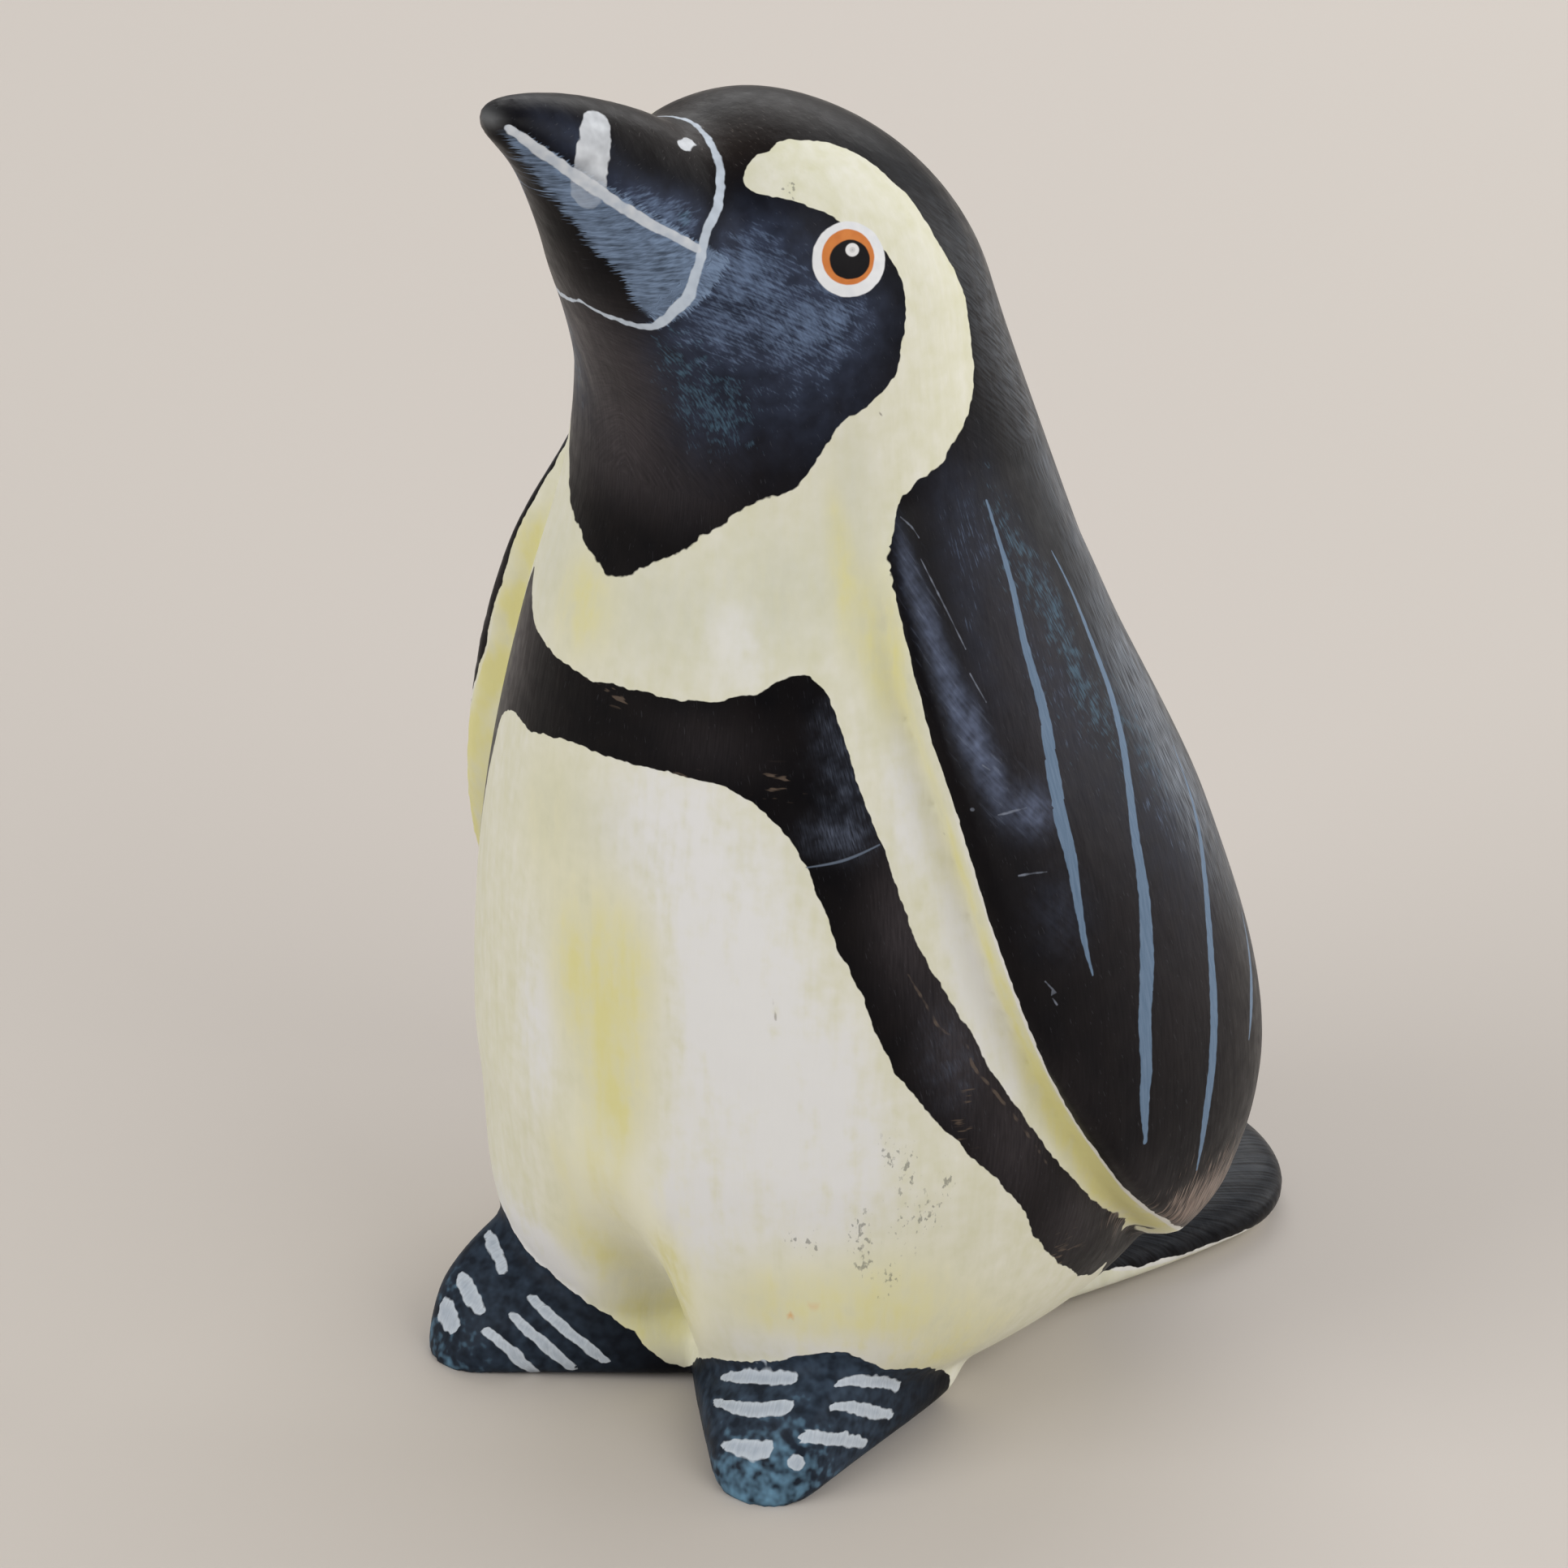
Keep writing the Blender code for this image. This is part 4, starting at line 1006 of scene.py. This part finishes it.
# 0 up to low and 1 from high, as an S between when smooth
def step(value, low, high, smooth=False):
    node = tree.nodes.new("ShaderNodeMapRange")
    node.interpolation_type = "SMOOTHSTEP" if smooth else "LINEAR"
    feed(node.inputs["Value"], value)
    feed(node.inputs["From Min"], low)
    feed(node.inputs["From Max"], high)
    return Level(node.outputs[0])


def joined(x, y, z):
    node = tree.nodes.new("ShaderNodeCombineXYZ")
    for socket, value in zip(node.inputs, (x, y, z)):
        feed(socket, value)
    return Level(node.outputs[0])


# Noise at a place. It lies mostly between 0.3 and 0.7, which is spread to 0 and 1.
def noiseAt(place, detail=2.0):
    noise = tree.nodes.new("ShaderNodeTexNoise")
    feed(noise.inputs["Vector"], place)
    noise.inputs["Scale"].default_value = 1.0
    noise.inputs["Detail"].default_value = detail
    return step(Level(noise.outputs["Fac"]), 0.3, 0.7)


# Grain in the round, so many millimetres across each way, and moved along by its seed
def grain(size, seed=0, detail=2.0):
    moved = tree.nodes.new("ShaderNodeMapping")
    tree.links.new(objectPlace, moved.inputs["Vector"])
    moved.inputs["Location"].default_value = (seed * 0.037, seed * 0.011, -seed * 0.023)
    squeezed = tree.nodes.new("ShaderNodeMapping")
    tree.links.new(moved.outputs[0], squeezed.inputs["Vector"])
    sizes = size if isinstance(size, tuple) else (size, size, size)
    squeezed.inputs["Scale"].default_value = [1 / (value * metre) for value in sizes]
    return noiseAt(Level(squeezed.outputs[0]), detail)


# Brush hairs on flat maps: streaks so wide and long in millimetres, turned by an angle. Each
# further row takes over where its share is 1.
def hairs(rows):
    place = None
    for share, u, v, width, length, degrees in rows:
        c, s = math.cos(math.radians(degrees)), math.sin(math.radians(degrees))
        here = joined((u * c + v * s) * (1 / length), (v * c - u * s) * (1 / width), degrees)
        place = mixed(share, place, here, "VECTOR") if place else here
    return noiseAt(place)


# How far paint covers where the brush was nearly dry: a wash decides how much of the grain
# it takes
def dryBrush(wash, hair, soft):
    low = 1.0 - wash
    return step(hair, low, low + soft)


# One colour, vector or number over another, by a share
def mixed(share, under, over, kind="RGBA"):
    node = tree.nodes.new("ShaderNodeMix")
    node.data_type = kind
    first = {"FLOAT": 2, "VECTOR": 4, "RGBA": 6}[kind]
    feed(node.inputs[0], share)
    feed(node.inputs[first], under)
    feed(node.inputs[first + 1], over)
    return Level(node.outputs[first // 2 - 1])


def between(share, under, over):
    return mixed(share, under, over, "FLOAT")


# Distance inside a stroke, positive inside, from its three maps
def insideStroke(name, wobble=0.0):
    side, over = mapped(name + "Side"), sums("MAXIMUM", mapped(name + "Over"), 0.0)
    away = sums("SQRT", side * side + over * over)
    return mapped(name + "Half") - away + wobble


objectPlace = tree.nodes.new("ShaderNodeTexCoord").outputs["Object"]
splitPlace = tree.nodes.new("ShaderNodeSeparateXYZ")
tree.links.new(objectPlace, splitPlace.inputs[0])
height = Level(splitPlace.outputs[2]) * (1 / metre)
turn, eyeBack, eyeUp = mapped("turn"), mapped("eyeBack"), mapped("eyeUp")
beakAlong, beakLift = mapped("beakAlong"), mapped("beakLift")
footAlong = mapped("footAlong")

# Edges of painted areas: slow waves and small ones
slowWave = grain(2.4, detail=1.0)
quickWave = grain(0.7, detail=1.0, seed=3)
wobble = slowWave * 0.24 + quickWave * 0.13 - 0.185
fineWobble = quickWave * 0.12 - 0.06
dark = mapped("dark") + wobble
darkShare = step(dark, -0.03, 0.03)
footShare = step(mapped("foot") + wobble * 1.4, -0.03, 0.03)
onHead = step(height, 64.98, 65.02)
onBeak = mapped("onBeak")

# The marks of the brush's hairs: two sets, long ones and short crossing ones. Body, head and
# beak each have their own map, hair width, hair length and direction.
longHair = hairs((
    (None, turn, height, 0.15, 1.7, 84.0),
    (onHead, eyeBack, eyeUp, 0.16, 1.5, -34.0),
    (onBeak, beakAlong, beakLift, 0.2, 1.5, -42.0),
))
shortHair = hairs((
    (None, turn, height, 0.12, 0.8, 99.0),
    (onHead, eyeBack, eyeUp, 0.13, 0.55, -62.0),
    (onBeak, beakAlong, beakLift, 0.12, 0.5, -62.0),
))

# The pale plumage: cream with upright brush marks, whiter and yellower patches, painted shade on the chest
# and neck, and painted light in the hollow between the thighs
upright = grain((0.55, 0.55, 4.0), seed=1)
broadUpright = grain((1.7, 1.7, 9.0), seed=2)
mottle = grain(1.1, seed=5)
patchy = broadUpright * 0.5 + upright * 0.2 + mottle * 0.3 - 0.5
colour = mixed(upright * 0.25 + mottle * 0.4 + broadUpright * 0.35, "creamDeep", "creamPale")
# Painted shade: greyer cream on the chest and neck under the head
colour = mixed(mapped("dusk") * (0.6 + 0.4 * upright), colour, "creamInShade")
# Painted light: paler cream in the shaded hollow between the thighs
colour = mixed(mapped("pale"), colour, "creamPaintedLight")
whiteShare = step(mapped("white") * (1.0 + patchy * 1.2), 0.05, 0.8, True)
colour = mixed(whiteShare, colour, "white")
yellowShare = step(mapped("yellow") * (1.0 + patchy * 1.4), 0.04, 1.0, True)
colour = mixed(yellowShare * 0.95, colour, "yellow")
rim = step(mapped("wing"), -0.42, -0.25, True) * step(height, 52.0, 38.0)
colour = mixed(rim * 0.9, colour, "ledge")
smudge = dryBrush(mapped("smudge") * 0.62, grain((0.28, 0.28, 0.45), seed=8), 0.22)
colour = mixed(smudge * 0.55, colour, "smudge")
colour = mixed(mapped("orange") * 0.8, colour, "orangeDot")

# The dark plumage, with painted reflections and highlights laid over it
brownish = sums("MAXIMUM", mapped("brown"), slowWave * 0.18)
black = mixed(brownish, "black", "brownBlack")
# Dust, with a painted reflection on the throat and at the band's right end
black = mixed(mapped("dust") * (0.55 + 0.45 * longHair), black, "dust")
faceTint = sums("MAXIMUM", mapped("blue"), mapped("teal") * 0.5)
tint = step(faceTint, 0.0, 0.55) * (0.5 + 0.5 * mottle) * (0.4 + 0.6 * step(height, 62.0, 68.0, True))
black = mixed(tint, black, "faceTint")
# Blue-grey haze and a painted reflection on the back edges
black = mixed(mapped("haze") * (0.15 + 0.85 * step(longHair, 0.2, 0.85)), black, "haze")
folds = hairs(((None, turn, height, 0.3, 2.2, 122.0),))
# Painted reflection: the bluish sheen along the flippers' front edges
black = mixed(mapped("sheen") * (0.2 + 0.4 * quickWave + 0.4 * folds), black, "sheen")
# Painted highlights on the ridges of the wrinkles
black = mixed(mapped("wrinkle") * step(folds, 0.82, 0.95) * 0.35, black, "wrinkle")
# Painted highlights: the bluish shine on the band
black = mixed(mapped("gleam") * (0.1 + 0.9 * shortHair * mottle), black, "gleam")
crossed = longHair * 0.45 + shortHair * 0.3 + mottle * 0.25
tealHair = shortHair * 0.6 + quickWave * 0.4
black = mixed(dryBrush(mapped("teal"), tealHair, 0.4) * 0.65, black, "teal")
black = mixed(dryBrush(mapped("blue"), crossed, 0.5) * 0.8, black, "blue")
mandible = step(mapped("mandible") + shortHair * 0.5 - 0.22, -0.06, 0.12) * step(beakAlong, 13.4, 12.2)
mandibleHair = 0.3 + 0.7 * step(crossed, 0.2, 0.75)
black = mixed(mandible * mandibleHair, black, "lowerBeak")
scuff = dryBrush(mapped("scuff") * 0.7, grain((1.2, 1.2, 0.25), detail=1.0, seed=14), 0.25)
black = mixed(scuff * 0.8, black, "scuff")
brown = mapped("brown")
black = mixed(dryBrush(brown * (1.0 - onHead), longHair, 0.5) * 0.85, black, "rubbedBrown")
black = mixed(dryBrush(brown * 0.30 * onHead, shortHair, 0.3) * 0.3, black, "headBrown")
black = mixed(step(shortHair, 0.93, 1.0) * 0.08, black, "hairGrey")
# Painted highlight on the beak's tip
black = mixed(mapped("tip") * 0.6, black, "beakTipHighlight")
colour = mixed(darkShare, colour, black)

# Lines on the flippers and the band
stripeShare = step(insideStroke("stripe", fineWobble * 0.6), -0.025, 0.03)
stripeColour = mixed(longHair, "stripeDeep", "stripePale")
colour = mixed(stripeShare * 0.93, colour, stripeColour)
scratch = step(insideStroke("scratch", fineWobble * 0.4), -0.03, 0.02)
colour = mixed(scratch * (0.15 + 0.45 * quickWave), colour, "scratch")
# The band's crease: a groove in the relief and a painted highlight along it
creaseAndHighlightShare = step(insideStroke("creaseAndHighlight"), -0.03, 0.03)
colour = mixed(creaseAndHighlightShare * 0.7, colour, "creaseAndHighlight")
bareLine = step(insideStroke("bareLine", fineWobble * 0.8), -0.03, 0.03)
colour = mixed(bareLine * step(quickWave, 0.3, 0.9) * 0.6, colour, "bareLine")

# The feet: navy on top to teal at the toe, with darker flecks and pale dashes. The right foot, on the far
# side, is painted darker as painted shade.
footGrain = quickWave * 0.55 + mottle * 0.45
# Painted shade: the right foot takes less navy and teal than the left
paintedFootLight = 0.7 + 0.3 * step(Level(splitPlace.outputs[0]), -0.002, 0.002)
onTop = step(footAlong, 2.0, 10.0) * (0.25 + 0.75 * step(footGrain, 0.2, 0.9)) * paintedFootLight
navy = mixed(onTop, "footBlack", "footNavy")
toe = step(footAlong, 10.5, 16.0) * paintedFootLight
footColour = mixed(dryBrush(toe, footGrain, 0.8) * 0.95, navy, "toe")
dash = mapped("dash") + fineWobble * 1.1
dashShare = step(dash, -0.04, 0.04)
dashColour = mixed(step(dash, 0.05, 0.3) * (0.5 + 0.5 * longHair), "dashEdge", "dashMiddle")
footColour = mixed(dashShare * (0.82 + 0.18 * shortHair), footColour, dashColour)
colour = mixed(footShare, colour, footColour)

# The beak's lines
ring = step(insideStroke("ring", fineWobble), -0.03, 0.04)
colour = mixed(ring * (0.8 + 0.2 * quickWave), colour, "ring")
bar = mapped("bar") + fineWobble * 1.5
barShare = step(bar, -0.04, 0.06)
barDense = step(beakLift, -0.6, 1.6, True)
barSolid = sums("MINIMUM", 0.45 + 0.42 * barDense + (mottle - 0.5) * 0.35, 1.0)
colour = mixed(barShare * barSolid, colour, mixed(barDense, "barThin", "barThick"))
gape = step(insideStroke("gape", fineWobble), -0.03, 0.04)
colour = mixed(gape * 0.92, colour, mixed(quickWave, "gapeThin", "barThick"))

# The eye: ovals round one place, each with its middle back and up, and its two radii
eyePaint = {
    "white": (0.05, 0.02, 2.45, 2.28),
    "orange": (-0.02, 0.16, 1.76, 1.68),
    "pupil": (0.05, 0.0, 1.36, 1.18),
    "glint": (0.28, 0.56, 0.46, 0.40),
    "glintRing": (0.28, 0.56, 0.2, 0.17),
    "glintDot": (0.28, 0.56, 0.06, 0.05),
}


# How far a place is inside an oval: its mean radius less the distance from its middle
def insideOval(key):
    atBack, atUp, wide, high = eyePaint[key]
    u, v = (eyeBack - atBack) * (1 / wide), (eyeUp - atUp) * (1 / high)
    wave = fineWobble * (0.4 if wide > 1 else 0.1)
    return step((1.0 - sums("SQRT", u * u + v * v)) * ((wide + high) / 2) + wave, -0.035, 0.035) * onHead


white, orange, pupil, glint, glintRing, glintDot = (insideOval(key) for key in eyePaint)
colour = mixed(white, colour, mixed(quickWave, "eyeWhiteDeep", "eyeWhitePale"))
colour = mixed(orange, colour, mixed(quickWave, "eyeOrangeDeep", "eyeOrangePale"))
colour = mixed(pupil, colour, "pupil")
colour = mixed(glint, colour, "glint")
colour = mixed((glintRing - glintDot) * 0.3, colour, "glintGrey")
colour = mixed(glintDot * 0.6, colour, "glintGrey")

# Gloss and relief
gloss = {"pale": 0.42, "dark": 0.30, "uneven": 0.12, "dry": 0.45, "specular": 0.08}
shader = tree.nodes["Principled BSDF"]
feed(shader.inputs["Base Color"], colour)
uneven = gloss["uneven"] * mottle
satin = between(darkShare, gloss["pale"] + uneven, gloss["dark"] + uneven)
dry = sums("MAXIMUM", mapped("blue"), dashShare * footShare)
feed(shader.inputs["Roughness"], between(dry, satin, gloss["dry"]))
shader.inputs["Specular IOR Level"].default_value = gloss["specular"]
relief = upright * 0.012 + slowWave * 0.03 - creaseAndHighlightShare * 0.05
relief = relief + mapped("wrinkle") * quickWave * 0.06
bump = tree.nodes.new("ShaderNodeBump")
bump.inputs["Strength"].default_value = 1.0
bump.inputs["Distance"].default_value = metre
feed(bump.inputs["Height"], relief)
tree.links.new(bump.outputs[0], shader.inputs["Normal"])
mesh.materials.append(paint)
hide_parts("penguin")
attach(penguin, "root")
print("paint nodes:", len(tree.nodes))


# Camera, floor and light

view = {
    "azimuth": 42, "elevation": 25.5, "distance": 450, "aim": (0, 0, 37), "aside": -5.8,
    "pixelsPerMm": 18.9, "imageWidth": 1932, "sensor": 36,
}


# Puts a camera or a light at an azimuth, elevation and distance round a place that it faces,
# moved aside along its own right
def facing(thing, place, azimuth, elevation, distance, aside=0.0):
    azimuth, elevation = math.radians(azimuth), math.radians(elevation)
    back = np.array([math.sin(azimuth) * math.cos(elevation), -math.cos(azimuth) * math.cos(elevation),
                     math.sin(elevation)])
    right = np.array([math.cos(azimuth), math.sin(azimuth), 0])
    place = (np.array(place) + aside * right + distance * back) * metre
    axes = np.stack([right, np.cross(back, right), back], 1)
    bpy.context.scene.collection.objects.link(thing)
    thing.matrix_world = Matrix([(*row, value) for row, value in zip(axes, place)] + [(0, 0, 0, 1)])


def addCamera():
    data = bpy.data.cameras.new("camera")
    data.sensor_width = view["sensor"]
    data.lens = view["sensor"] * view["pixelsPerMm"] * view["distance"] / view["imageWidth"]
    data.clip_start = 0.01
    camera = bpy.data.objects.new("camera", data)
    facing(camera, view["aim"], view["azimuth"], view["elevation"], view["distance"], view["aside"])
    bpy.context.scene.camera = camera


addCamera()

stage = {
    "floorColour": (0.595, 0.550, 0.507),
    "floorRoughness": 0.9,
    "floorReach": 3,  # metres each way
    "worldColour": (1, 0.97, 0.94),
    "worldLight": 0.36,
    "middle": (0, 0, 40),  # the place that the lights face
    "lights": (  # name, azimuth and elevation of the light, distance, width, watts
        ("leftLight", -20, 28, 800, 600, 2.8),
        ("rightLight", 88, 28, 800, 600, 2.2),
        ("wallLight", 150, 14, 900, 800, 4.4),
        ("backLight", 212, 40, 900, 800, 4),
    ),
}


# A plain floor, an even sky and wide soft lights that face the figure
def addStage():
    floor = bpy.data.objects.new("floor", bpy.data.meshes.new("floor"))
    reach = stage["floorReach"]
    floor.data.from_pydata([(-reach, -reach, 0), (reach, -reach, 0), (reach, reach, 0), (-reach, reach, 0)],
                           [], [(0, 1, 2, 3)])
    bpy.context.scene.collection.objects.link(floor)
    floorPaint = bpy.data.materials.new("floorPaint")
    floorPaint.use_nodes = True
    shader = floorPaint.node_tree.nodes["Principled BSDF"]
    shader.inputs["Base Color"].default_value = (*stage["floorColour"], 1)
    shader.inputs["Roughness"].default_value = stage["floorRoughness"]
    floor.data.materials.append(floorPaint)
    world = bpy.data.worlds.new("studio")
    world.use_nodes = True
    sky = world.node_tree.nodes["Background"]
    sky.inputs["Color"].default_value = (*stage["worldColour"], 1)
    sky.inputs["Strength"].default_value = stage["worldLight"]
    bpy.context.scene.world = world
    bpy.context.scene.view_settings.view_transform = "Standard"
    for name, azimuth, elevation, distance, width, watts in stage["lights"]:
        data = bpy.data.lights.new(name, "AREA")
        data.size = width * metre
        data.energy = watts
        light = bpy.data.objects.new(name, data)
        light.visible_camera = False
        facing(light, stage["middle"], azimuth, elevation, distance)


addStage()
print("stage:", len(stage["lights"]), "lights")
